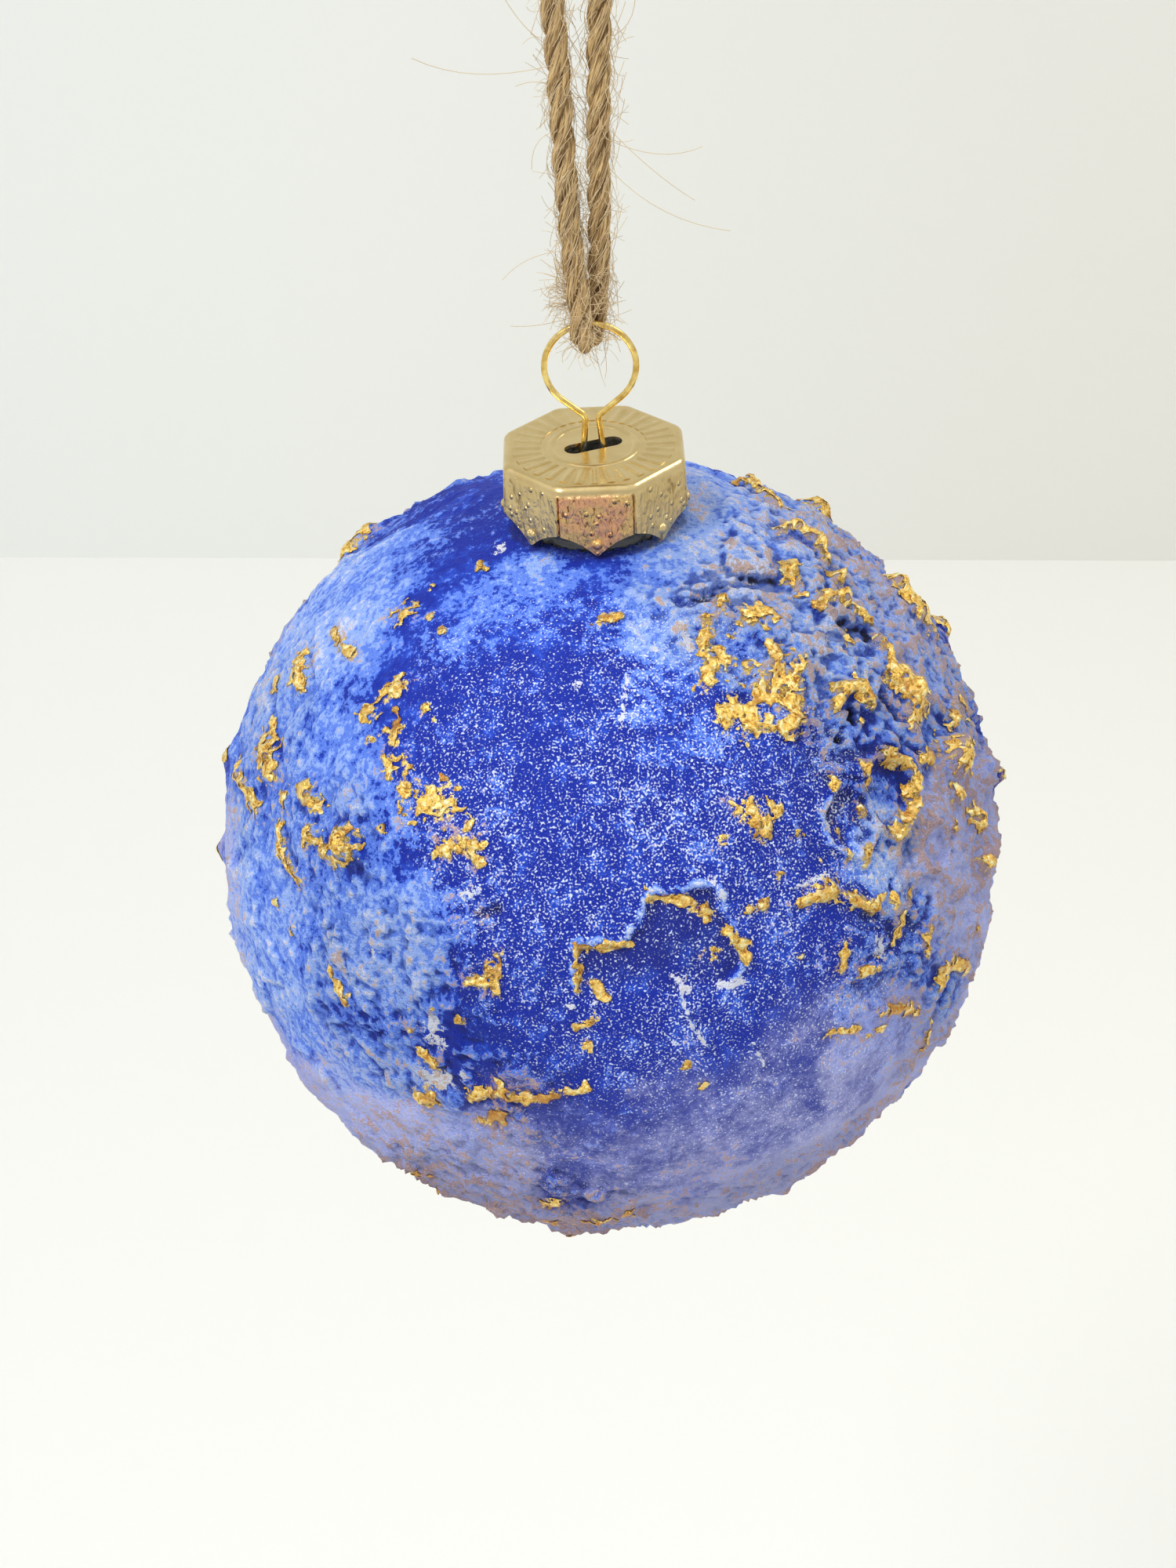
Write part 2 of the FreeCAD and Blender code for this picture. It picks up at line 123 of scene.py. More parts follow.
# %% Sums of sockets
class Wire:
    """A socket that can be used in sums."""

    def __init__(self, finish, socket):
        self.finish = finish
        self.socket = socket

    def maths(self, operation, first, second):
        return self.finish.node("ShaderNodeMath", {"operation": operation}, {0: first, 1: second})

    def __add__(self, other):
        return self.maths("ADD", self, other)

    def __radd__(self, other):
        return self.maths("ADD", other, self)

    def __sub__(self, other):
        return self.maths("SUBTRACT", self, other)

    def __rsub__(self, other):
        return self.maths("SUBTRACT", other, self)

    def __mul__(self, other):
        return self.maths("MULTIPLY", self, other)

    def __rmul__(self, other):
        return self.maths("MULTIPLY", other, self)


# %% One finish
class Finish:
    """A material with one Principled shader, and a method that adds nodes to it."""

    def __init__(self, name, **constants):
        self.material = bpy.data.materials.new(name)
        self.material.use_nodes = True
        self.tree = self.material.node_tree
        self.shader = self.tree.nodes["Principled BSDF"]
        for key, value in constants.items():
            self.shader.inputs[key.replace("_", " ")].default_value = value

    def node(self, kind, settings=None, inputs=None, out=0):
        made = self.tree.nodes.new(kind)
        for key, value in (settings or {}).items():
            if key == "stops":
                ramp = made.color_ramp.elements
                while len(ramp) < len(value):
                    ramp.new(0.5)
                for element, (place, colour) in zip(ramp, value):
                    element.position = place
                    element.color = colour
            else:
                setattr(made, key, value)
        for key, value in (inputs or {}).items():
            self.join(value, made.inputs[key])
        return Wire(self, made.outputs[out])

    def join(self, value, socket):
        if isinstance(value, Wire):
            self.tree.links.new(value.socket, socket)
        else:
            socket.default_value = value

    def set(self, **values):
        for key, value in values.items():
            self.join(value, self.shader.inputs[key.replace("_", " ")])

    def place(self):
        return self.node("ShaderNodeTexCoord", out="Object")

    def attribute(self, name, out="Fac"):
        return self.node("ShaderNodeAttribute", {"attribute_name": name}, out=out)

    def grain(self, vector, size, detail=3.0, rough=0.6, distortion=0.0):
        """Noise whose blotches are about size metres across, from 0 to 1."""
        return self.node("ShaderNodeTexNoise", {}, {"Vector": vector, "Scale": 1 / size, "Detail": detail,
                                                    "Roughness": rough, "Distortion": distortion}, "Fac")

    def ramp(self, value, low, high):
        """0 below low, 1 above high, eased between."""
        return self.node("ShaderNodeMapRange", {"interpolation_type": "SMOOTHSTEP"},
                         {"Value": value, "From Min": low, "From Max": high})

    def blend(self, factor, first, second):
        made = self.tree.nodes.new("ShaderNodeMix")
        made.data_type = "RGBA"
        self.join(factor, made.inputs["Factor"])
        self.join(first, made.inputs[6])
        self.join(second, made.inputs[7])
        return Wire(self, made.outputs[2])

    def bump(self, height, distance, strength=1.0):
        """Small relief for the shader's Normal, distance metres high."""
        return self.node("ShaderNodeBump", {}, {"Height": height, "Distance": distance, "Strength": strength})


# %% Dressing helpers
def wear(obj, finish):
    """Gives an object one material."""
    obj.data.materials.clear()
    obj.data.materials.append(finish.material)
    print(obj.name, "wears", finish.material.name, "with", len(finish.tree.nodes), "nodes")


def piece(name, mesh, body):
    """A finished mesh as an object that rides on a body."""
    obj = bpy.data.objects.new(name, mesh)
    bpy.context.scene.collection.objects.link(obj)
    for face in mesh.polygons:
        face.use_smooth = True
    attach(obj, body)
    return obj


# %% [markdown]
# ## The twine's line
# The loop is one length of twine: it comes down from the knot, goes under the top of the wire ring from front
# to back, and runs up again beside itself. A smooth spline near a few given points carries that route,
# because it bends as limp twine does, and the plies follow points read from it.

# %% Twine route
twine_thick = 2.2 * MM
wire_top = wire_high[2]
wire_thick = wire_high[1] - wire_low[1]
fold = wire_thick / 2 + 0.2 * MM + twine_thick / 2
bight = wire_top - wire_thick / 2 - fold
knot_foot = knot_low[2]


def along_route():
    front = [(-1.3, 0, 0), (-1.35, 0, -4), (-2.5, 0, -9), (-1.8, -0.1, -18), (-1.6, 0, -29)]
    rear = [(1.5, 0, -28), (1.9, 0.1, -18), (2.5, 0, -9), (1.35, 0, -4), (1.3, 0, 0)]
    out = 1.15 * fold / MM
    under = [(-1.25, -0.4, 8.5), (-0.75, -1.3, 3.8), (-0.7, -out, 0),
             (0.7, out, 0), (0.8, 1.3, 3.8), (1.3, 0.35, 8.2)]
    points = [Vector((x, y, z)) * MM + Vector((0, 0, knot_foot)) for x, y, z in front]
    points += [Vector((x, y, z)) * MM + Vector((0, 0, bight)) for x, y, z in under]
    points += [Vector((x, y, z)) * MM + Vector((0, 0, knot_foot)) for x, y, z in rear]
    return points


def spline_line(points, step):
    """Points every step metres along the smooth spline that the given points shape."""
    curve = bpy.data.curves.new("route", "CURVE")
    curve.dimensions = "3D"
    spline = curve.splines.new("NURBS")
    spline.points.add(len(points) - 1)
    for knot, point in zip(spline.points, points):
        knot.co = (*point, 1)
    spline.order_u = 3
    spline.use_endpoint_u = True
    spline.resolution_u = 24
    holder = bpy.data.objects.new("route", curve)
    mesh = bpy.data.meshes.new_from_object(holder)
    line = [v.co.copy() for v in mesh.vertices]
    bpy.data.objects.remove(holder)
    bpy.data.meshes.remove(mesh)
    even = [line[0]]
    spare = 0.0
    for a, b in zip(line, line[1:]):
        run = (b - a).length
        while spare + run >= step:
            a = a + (b - a) * ((step - spare) / run)
            run = (b - a).length
            spare = 0.0
            even.append(a)
        spare += run
    even.append(line[-1])
    return even


def frames(line):
    """Two directions square to the line at each point, turned as little as possible along it."""
    side = Vector((0, 1, 0))
    pairs = []
    for i, point in enumerate(line):
        ahead = (line[min(i + 1, len(line) - 1)] - line[max(i - 1, 0)]).normalized()
        side = (side - ahead * side.dot(ahead)).normalized()
        pairs.append((side, ahead.cross(side)))
    return pairs


route = along_route()
twine_line = spline_line(route, 0.3 * MM)
twine_length = sum((b - a).length for a, b in zip(twine_line, twine_line[1:]))
print("twine points", len(twine_line), "length", round(twine_length, 4))

# %% [markdown]
# ## Twisting three plies
# Jute twine is plies laid round each other. A plain tube with a bump would show a straight outline, so
# each ply is a round sweep along its own helix about the route. Where the plies touch they hide each
# other's inner sides, as the real ones do.

# %% Plies
plies = 3
ply_radius = 0.56 * MM
ply_offset = twine_thick / 2 - ply_radius
lay_length = 9.6 * MM
ply_sides = 12


def sweep(line, radius, sides):
    """Round mesh along a line of points, closed at its ends."""
    curve = bpy.data.curves.new("sweep", "CURVE")
    curve.dimensions = "3D"
    curve.bevel_depth = radius
    curve.bevel_resolution = (sides - 4) // 2
    curve.use_fill_caps = True
    curve.twist_mode = "MINIMUM"
    spline = curve.splines.new("POLY")
    spline.points.add(len(line) - 1)
    for knot, point in zip(spline.points, line):
        knot.co = (*point, 1)
    holder = bpy.data.objects.new("sweep", curve)
    mesh = bpy.data.meshes.new_from_object(holder)
    bpy.data.objects.remove(holder)
    return mesh


def twisted(name, line, seed=0):
    """Three plies about a line, as one mesh, with the fibres' direction kept in an attribute."""
    whole = bmesh.new()
    layer = whole.verts.layers.float_vector.new("fibre")
    crest = whole.verts.layers.float.new("crest")
    pairs = frames(line)
    for ply in range(plies):
        helix = []
        travelled = 0.0
        for i, point in enumerate(line):
            if i:
                travelled += (point - line[i - 1]).length
            uneven = 1 + 0.08 * noise.noise(Vector((travelled * 300, ply * 5.0, seed)))
            waver = 0.25 * noise.noise(Vector((travelled * 150, seed, 3)))
            angle = 2 * math.pi * (travelled / lay_length + ply / plies) + waver
            side, other = pairs[i]
            helix.append(point + (side * math.cos(angle) + other * math.sin(angle)) * ply_offset * uneven)
        mesh = sweep(helix, ply_radius, ply_sides)
        start = len(whole.verts)
        whole.from_mesh(mesh)
        whole.verts.ensure_lookup_table()
        for i, vert in enumerate(whole.verts[start:]):
            ring, turn_index = divmod(i, ply_sides)
            around = 2 * math.pi * turn_index / ply_sides
            vert[layer] = Vector((ring * 0.3, math.cos(around) + 7 * ply, math.sin(around)))
            vert[crest] = (vert.co - line[min(ring, len(line) - 1)]).length / (twine_thick / 2)
        bpy.data.meshes.remove(mesh)
    bmesh.ops.recalc_face_normals(whole, faces=whole.faces)
    made = bpy.data.meshes.new(name)
    whole.to_mesh(made)
    whole.free()
    return made


twine_mesh = twisted("twine_plies", twine_line)
twine = piece("twine_plies", twine_mesh, "twine_loop")
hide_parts("twine")
print("twine faces", len(twine_mesh.polygons))

# %% [markdown]
# ## The knot
# At the top of the loop the two ends are tied in an overhand knot. One strand wraps the pair and
# passes back under itself, and the two cut ends stand up from it.

# %% Knot
knot_middle = Vector((0, 0, knot_foot + 3.3 * MM))


def knot_lines():
    """Two strands rising side by side, and the turns that wrap them."""
    rise = []
    for side in (-1, 1):
        rise.append([Vector((side * 1.3, 0, -3.3)), Vector((side * 1.15, 0.1 * side, -1)),
                     Vector((side * 1.2, 0, 2.2)), Vector((side * 1.9, 0.4 * side, 5.5)),
                     Vector((side * 2.9, 0.5 * side, 9.3))])
    wrap = []
    turns = 1.75
    steps = 22
    for i in range(steps + 1):
        t = i / steps
        a = 2 * math.pi * (turns * t) + 0.6
        wrap.append(Vector((2.75 * math.cos(a), 1.75 * math.sin(a), -1.9 + 3.9 * t + 0.5 * math.sin(a))))
    wrap.insert(0, Vector((1.2, 0.9, -1.2)))
    wrap.append(Vector((0.4, -0.6, 1.8)))
    return [[p * MM + knot_middle for p in line] for line in rise + [wrap]]


knot_bm = bmesh.new()
for index, line in enumerate(knot_lines()):
    part = twisted("knot", spline_line(line, 0.3 * MM), index + 1)
    knot_bm.from_mesh(part)
    bpy.data.meshes.remove(part)
knot_data = bpy.data.meshes.new("knot_strands")
knot_bm.to_mesh(knot_data)
knot_bm.free()
knot = piece("knot_strands", knot_data, "twine_loop")
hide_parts("twine_knot")
print("knot faces", len(knot_data.polygons))

# %% [markdown]
# ## Stray fibres
# Jute sheds: short hairs stand off all along the twine, thicker in a fuzzy clump at the ring, and a few
# long ones wander off. Particle hair would not be exported as a mesh, so each hair is a hair-thin sweep
# that leaves the twine and curls.

# %% Hair helpers
dice = random.Random(7)


def hair(start, outward, length, curl, thick, bend=None):
    """One curling hair as a list of points, which bends more towards its tip."""
    points = [start]
    heading = outward.normalized()
    bend = bend or Vector([dice.uniform(-1, 1) for _ in range(3)])
    count = 9
    for i in range(count):
        heading = (heading + (bend - heading * bend.dot(heading)) * curl * (0.4 + i / count)).normalized()
        points.append(points[-1] + heading * length / count)
    return points, thick


def on_twine(lean):
    """A random place on the twine's skin, the direction off it there, and a heading that leans along it."""
    i = dice.randrange(2, len(twine_line) - 2)
    side, other = pairs[i]
    a = dice.uniform(0, 2 * math.pi)
    radial = side * math.cos(a) + other * math.sin(a)
    ahead = (twine_line[i + 1] - twine_line[i - 1]).normalized() * dice.choice((-1, 1))
    around = ahead.cross(radial) * 0.5
    return twine_line[i] + radial * twine_thick * 0.44, radial, radial + (ahead + around) * lean


# %% Hairs
hairs = []
pairs = frames(twine_line)
short_hairs, lying_hairs, fuzz_hairs, tuft_hairs = 520, 620, 260, 70
for _ in range(short_hairs):
    start, radial, heading = on_twine(dice.uniform(0.2, 1.8))
    hairs.append(hair(start, heading, dice.uniform(0.7, 2.8) * MM, dice.uniform(0.05, 0.4), 0.022 * MM))
for _ in range(lying_hairs):
    start, radial, heading = on_twine(dice.uniform(3, 7))
    hairs.append(hair(start, heading, dice.uniform(2, 6) * MM, 0.12, 0.026 * MM, -radial))
for _ in range(fuzz_hairs):
    a = dice.uniform(0, 2 * math.pi)
    low = dice.uniform(0, 1) ** 1.2 * 8 * MM
    start = Vector((1.4 * math.cos(a), 2.0 * math.sin(a), 0)) * MM + Vector((0, 0, bight - 0.6 * MM + low))
    heading = Vector((math.cos(a), math.sin(a), dice.uniform(-0.5, 1.4)))
    hairs.append(hair(start, heading, dice.uniform(0.8, 2.4) * MM, dice.uniform(0.2, 0.6), 0.022 * MM))
for _ in range(tuft_hairs):
    start = Vector((-1.6, -0.4, dice.uniform(3, 7))) * MM + Vector((0, 0, bight))
    heading = Vector((-1, dice.uniform(-0.5, 0.5), dice.uniform(-0.6, 0.6)))
    hairs.append(hair(start, heading, dice.uniform(1.5, 3.6) * MM, dice.uniform(0.2, 0.5), 0.022 * MM))

# Height above the fold and place across, heading, the way it bends, how much, and length, in millimetres.
LONG_HAIRS = [
    (26, -1.6, (-1, -0.1, -0.2), (0, 0, 1), 0.09, 13), (27, -1.5, (-1, -0.1, 0.5), (-0.4, 0, 1), 0.3, 9),
    (19.5, 1.6, (1, 0, -0.6), (0, 0, 1), 0.12, 9.5), (17.5, 1.6, (0.7, 0, -1), (1, 0, 0.1), 0.16, 14),
    (21, 1.7, (0.8, -0.2, -0.9), (1, 0, 0), 0.05, 11), (24, -1.6, (-1, 0, 0.4), (0, 0, -1), 0.1, 4),
    (20, -1.6, (-1, -0.3, 0.3), (0, 0, -1), 0.4, 5), (9, -1.4, (-1, 0, 0), (0, 0, -1), 0.12, 7),
    (2.5, -1.3, (-1, -0.2, -0.2), (0, 0, 1), 0.05, 6), (28, 1.7, (1, -0.1, -0.1), (0, 0, 1), 0.45, 7),
    (11, 1.5, (0.6, -0.1, -1), (-1, 0, 0), 0.15, 6),
]
for rise, x, heading, bend, curl, length in LONG_HAIRS:
    start = Vector((x, -0.4, 0)) * MM + Vector((0, 0, bight + rise * MM))
    hairs.append(hair(start, Vector(heading), length * MM, curl, 0.03 * MM, Vector(bend)))

print("hairs", len(hairs))

# %% Fibre mesh
fibre_bm = bmesh.new()
for points, thick in hairs:
    strand = sweep(points, thick, 4)
    fibre_bm.from_mesh(strand)
    bpy.data.meshes.remove(strand)
fibre_data = bpy.data.meshes.new("twine_fibres")
fibre_bm.to_mesh(fibre_data)
fibre_bm.free()
fibres = piece("twine_fibres", fibre_data, "twine_loop")
print("fibre faces", len(fibre_data.polygons))

# %% The loop's length
[tuple(p) for p in twine_line[::3]] + [tuple(twine_line[-1])]
print("cord length", round(twine_length * 1000, 1), "mm")

# %% [markdown]
# ## Jute
# The fibres run along each ply, so the colour streaks and the bump follow the attribute that was stored
# along and round it, not the object's own axes.

# %% Jute finish
jute = Finish("jute", Roughness=0.85)
strand = jute.attribute("fibre", "Vector")
streaks = jute.node("ShaderNodeMapping", {}, {"Vector": strand, "Scale": (0.35, 2.2, 2.2)})
fine = jute.grain(streaks, 0.55, 4.0, 0.65)
broad = jute.grain(streaks, 2.4, 2.0, 0.5)
tan = jute.blend(jute.ramp(fine, 0.36, 0.64), linear(104, 72, 34), linear(226, 194, 136))
# Painted shade between the plies, where their crests fall away from the twine's outside.
ply_gap_shade = jute.ramp(jute.attribute("crest") + (fine - 0.5) * 0.3, 0.94, 0.74)
tan = jute.blend(ply_gap_shade * 0.75, tan, linear(74, 48, 22))
tan = jute.blend(jute.ramp(broad, 0.35, 0.75) * 0.4, tan, linear(160, 124, 76))
jute.set(Base_Color=tan, Normal=jute.bump(fine, 0.12 * MM, 0.9))
wear(twine, jute)
wear(knot, jute)

stray = Finish("jute_hair", Roughness=0.7)
straw = stray.grain(stray.place(), 6 * MM)
stray.set(Base_Color=stray.blend(straw, linear(176, 144, 96), linear(238, 220, 180)))
wear(fibres, stray)

# %% [markdown]
# ## The shape of the coat
# The coat is paste dabbed on the glass with a sponge and torn up again. A brushed band runs down from the cap
# and stays nearly smooth, and crust, lumps, burst bubbles and torn edges lie round it. Noise alone would look
# the same all over, so the places are listed as on a globe, and noise breaks up everything between them.

# %% Broad areas
# Each spot is a longitude, a latitude, its reach in degrees and its strength.
BAND = [
    (-38, 72, 13, 1), (-30, 62, 15, 1), (-22, 54, 17, 1), (-8, 48, 19, 1), (3, 42, 18, 1),
    (-3, 34, 17, 1), (3, 27, 14, 1), (9, 20, 13, 1), (5, 12, 14, 1), (14, 8, 13, 1), (19, 0, 13, 1),
    (26, -8, 12, 1), (22, 22, 9, 0.8),
]
ROUGH = [
    (62, 46, 20, 1.0), (95, 45, 26, 1.0), (80, 20, 24, 1.0), (52, 30, 12, 0.8), (48, 12, 15, 0.8),
    (42, 62, 14, 0.8), (70, 68, 18, 0.8), (-48, 27, 13, 0.6), (-76, 30, 18, 0.6), (-32, 10, 17, 0.8),
    (-18, -2, 13, 0.7), (-20, -35, 26, 0.9), (55, -8, 13, 0.8), (30, -42, 26, 0.8), (10, 64, 9, 0.5),
]
PALE = [
    (-54, 36, 13, 0.7), (-43, 34, 9, 0.6), (-37, 18, 13, 0.8), (-43, 68, 9, 0.6), (-90, 42, 22, 1.0),
    (-66, 6, 24, 0.9), (-36, -10, 16, 0.9), (48, 24, 8, 1.0), (64, 56, 20, 0.9), (30, 66, 11, 0.8),
    (30, 57, 6, 0.7), (92, 60, 30, 1.0), (64, 14, 18, 1.0), (78, 34, 16, 0.9), (16, 52, 8, 0.35),
    (-24, 70, 8, 0.5), (56, -10, 14, 0.8), (40, 4, 10, 0.5), (150, 30, 34, 0.8), (-140, 10, 36, 0.7),
    (170, -40, 30, 0.6), (20, -80, 40, 0.6),
]
# Lilac areas: partly lilac paint, partly a painted sheen on the ball's sides and underside.
LILAC = [
    (-86, 0, 22, 0.6), (-60, -34, 28, 0.9), (-10, -42, 24, 1.0), (-28, -20, 18, 0.9), (34, -34, 24, 1.0),
    (54, -22, 18, 1.0), (80, -8, 22, 0.9), (66, 12, 18, 0.95), (88, 40, 18, 0.5), (-98, 24, 20, 0.35),
    (-38, -10, 14, 0.5), (120, -30, 34, 0.9), (-140, -40, 34, 0.8), (104, 64, 16, 0.4),
    (0, -90, 62, 0.55), (12, -14, 20, 0.6), (-10, -10, 14, 0.45), (27, 0, 12, 0.45), (38, -4, 12, 0.7),
]
GRAINS = [
    (10, 40, 24, 1.0), (-10, 44, 20, 0.8), (-4, 58, 13, 0.65), (6, 24, 24, 1.0), (14, 8, 20, 0.6),
    (30, 34, 14, 0.9), (-26, 58, 14, 0.3), (-4, -8, 18, 0.3), (36, 14, 12, 0.6), (28, -8, 16, 0.4),
    (24, 58, 10, 0.6),
]

print("areas", sum(map(len, (BAND, ROUGH, PALE, LILAC, GRAINS))))

# %% [markdown]
# ## Strokes of leaf, chalk and shade
# Small features are strokes: a half-width and a rise in millimetres, then the points that the stroke passes.
# Leaf lies on raised crumbs and torn lips, chalk is bare paste, and the shade strokes press small hollows
# into the coat that are painted nearly black as painted shade.

# %% Leaf strokes
LEAF = {
    "left shoulder": [
        (1.0, 0.3, (-62, 59)), (0.6, 0.2, (-64, 64)), (0.5, 0.2, (-54, 61)), (0.45, 0.3, (-47, 60)),
        (0.5, 0.2, (-78, 49), (-67, 50)), (0.5, 0.2, (-80, 44)), (1.0, 0.3, (-79, 42), (-74, 41)),
        (0.8, 0.3, (-83, 36)), (0.4, 0.2, (-39, 50)), (0.35, 0.2, (-36, 49)), (0.5, 0.8, (-56, 71)),
    ],
    "left chain": [
        (0.75, 0.2, (-51, 49), (-48, 51)), (0.9, 0.2, (-51, 46)), (0.4, 0.15, (-46, 48)),
        (0.55, 0.15, (-43, 46), (-42, 44)), (0.45, 0.1, (-47, 43)), (0.45, 0.1, (-45, 45)),
        (0.55, 0.15, (-42, 42), (-40, 40)), (0.35, 0.15, (-39, 43), (-38, 42)),
        (0.7, 0.15, (-37, 41), (-36, 38)), (1.35, 0.15, (-32, 38), (-29, 39)),
        (0.7, 0.15, (-27, 33), (-22, 35)), (0.45, 0.15, (-22, 35), (-21, 33)), (0.35, 0.1, (-23, 37)),
    ],
    "left side": [
        (0.6, 0.3, (-75, 34)), (1.3, 0.4, (-72, 31), (-68, 30)), (0.8, 0.3, (-81, 22)),
        (0.7, 0.3, (-77, 23), (-67, 24)), (0.9, 0.3, (-61, 29)), (0.8, 0.4, (-56, 32), (-52, 31)),
        (1.0, 1.0, (-51, 28)), (1.2, 1.1, (-44, 30), (-43, 29)), (0.7, 0.5, (-47, 27), (-44, 27)),
        (0.45, 0.4, (-38, 33)), (0.5, 0.4, (-59, 25), (-57, 22), (-51, 21)),
        (0.5, 0.3, (-42, 11), (-39, 8)), (0.5, 0.3, (-51, 13)), (0.5, 0.3, (-56, 15)),
        (0.9, 0.1, (-91, 0)), (0.8, 0.1, (-90, 18)),
    ],
    "low left": [
        (0.42, 0.35, (-20, 17), (-17, 17), (-17, 19), (-16, 18), (-16, 16)), (0.45, 0.3, (-16, 21)),
        (0.35, 0.3, (-21, 11)), (0.45, 0.3, (-25, 12)), (0.4, 0.2, (-28, 8)),
        (0.6, 0.3, (-27, 4), (-25, 3)), (0.9, 0.4, (-28, -4), (-26, -3)), (0.7, 0.3, (-20, -1), (-16, 1)),
        (0.55, 0.3, (-14, 0), (-12, 0)), (0.5, 0.2, (-19, -6), (-16, -4)), (0.9, 0.4, (-35, -27)),
        (0.8, 0.3, (-14, -38)), (0.5, 0.2, (-11, 0), (-8, 1), (-4, 2)), (0.5, 0.2, (-5, 12), (-3, 13)),
        (0.45, 0.2, (-4, 9)), (1.0, 0.3, (-4, -31), (0, -30)), (0.8, 0.3, (-11, -25)),
        (0.35, 0.1, (9, 5)), (0.35, 0.1, (11, 1)), (0.9, 0.0, (-13, -52)), (0.9, 0.1, (-42, -45)),
    ],
    "torn edge": [
        (0.4, 0.1, (-5, 23), (2, 23)), (0.35, 0.1, (-5, 22), (-5, 17)), (0.4, 0.1, (-3, 18), (-1, 16)),
        (0.65, 0.1, (6, 29), (11, 28)), (0.55, 0.1, (12, 27), (14, 25)),
        (0.6, 0.1, (16, 23), (18, 21), (18, 19)), (0.55, 0.2, (14, 20)),
    ],
    "right shoulder": [
        (0.95, 0.4, (71, 62), (67, 61)), (0.5, 0.7, (90, 64), (94, 62), (91, 59), (86, 58), (84, 57)),
        (0.8, 0.6, (79, 55)), (0.9, 0.9, (67, 56), (71, 54)), (0.6, 0.7, (71, 54), (72, 51), (73, 49)),
        (1.1, 0.3, (44, 61), (50, 60)), (0.6, 0.4, (42, 65), (38, 64)), (0.55, 0.2, (32, 63), (29, 61)),
        (0.7, 0.2, (28, 60), (24, 55)), (0.9, 0.2, (26, 57), (31, 57)), (0.4, 0.1, (37, 60)),
        (0.9, 0.2, (36, 55)), (0.75, 0.2, (45, 56), (41, 53)), (1.1, 0.3, (46, 52), (41, 50)),
        (1.5, 0.3, (36, 51), (39, 49)), (1.0, 0.3, (25, 50), (28, 50), (29, 48)),
        (1.1, 0.3, (35, 46), (39, 46)), (0.8, 0.9, (112, 62), (128, 61)), (0.45, 0.4, (0, 66), (6, 67)),
    ],
    "right side": [
        (0.7, 0.5, (64, 50)), (0.65, 1.0, (48, 45), (52, 46), (55, 45), (55, 42)), (0.45, 0.3, (52, 41)),
        (0.7, 0.5, (71, 46), (65, 42)), (1.5, 0.4, (67, 41), (67, 36)), (1.0, 0.3, (63, 36)),
        (0.9, 1.0, (95, 44), (92, 40), (93, 35)), (1.5, 1.0, (69, 27)), (0.7, 0.4, (60, 31), (63, 30)),
        (1.0, 0.8, (74, 30)), (0.9, 0.6, (83, 27)), (1.2, 1.3, (109, 24)), (1.0, 1.0, (94, 6)),
        (1.0, 0.9, (67, 10)), (1.1, 0.9, (69, 16)), (0.8, 0.6, (66, 22)), (0.7, 0.5, (61, 20)),
        (0.6, 0.4, (71, 22)), (0.6, 0.3, (62, 2)), (0.5, 0.3, (49, -11), (50, -7)),
    ],
    "bubbles": [
        (0.7, 0.6, (51, 36), (54, 34), (56, 31), (54, 29), (51, 27), (47, 26)),
        (0.35, 0.3, (46, 37), (46, 34)), (0.6, 0.4, (43, 31)), (0.3, 0.3, (40, 37), (39, 36)),
        (0.3, 0.3, (37, 31), (37, 27)), (0.5, 0.3, (41, 27), (40, 25)), (1.0, 0.3, (23, 38), (25, 35)),
        (0.4, 0.2, (27, 37), (28, 36)), (0.5, 0.3, (30, 33)), (0.45, 0.2, (18, 35)),
        (0.35, 0.2, (24, 33)),
    ],
    "low right": [
        (0.5, 0.4, (27, 24), (29, 24)), (0.95, 0.6, (31, 24), (33, 24)), (0.6, 0.6, (35, 22), (39, 19)),
        (0.6, 0.4, (43, 18)), (0.5, 0.3, (47, 17)), (0.4, 0.3, (25, 28)), (0.4, 0.4, (20, 25), (22, 25)),
        (0.4, 0.3, (26, 17)), (0.4, 0.3, (33, 16), (32, 13)), (0.6, 0.4, (35, 11), (38, 10)),
        (0.5, 0.3, (44, 15), (43, 13)), (0.6, 0.4, (49, 10), (48, 7)), (0.4, 0.3, (42, 12)),
        (0.6, 0.5, (51, 0), (52, 2), (54, 2), (59, -3)), (0.5, 0.4, (38, 3), (43, 1), (46, -2)),
        (0.4, 0.2, (29, 4), (34, 2)), (0.4, 0.2, (36, 0), (39, 0)),
    ],
    "back": [
        (1.4, 1.0, (130, 42), (134, 40)), (1.5, 1.1, (148, 2)), (1.3, 0.9, (172, -30)),
        (1.4, 1.0, (-160, 22)), (1.3, 1.1, (-138, -20)), (1.2, 0.8, (-122, 47), (-117, 45)),
        (1.1, 0.9, (-108, -42)), (1.3, 1.1, (122, -24)), (1.6, 0.2, (-150, -44), (-146, -42)),
        (1.5, 0.2, (150, -36)), (1.4, 0.2, (-140, 44)), (1.2, 0.2, (112, 44)),
        (0.7, 0.5, (140, 20), (148, 24), (156, 22)), (0.6, 0.4, (-176, 4), (-168, 8)),
        (0.8, 0.3, (165, 50), (172, 52)), (0.7, 0.4, (-128, 12), (-122, 18)),
        (0.6, 0.4, (110, -2), (114, -8)),
    ],
}
print("leaf strokes", sum(map(len, LEAF.values())))

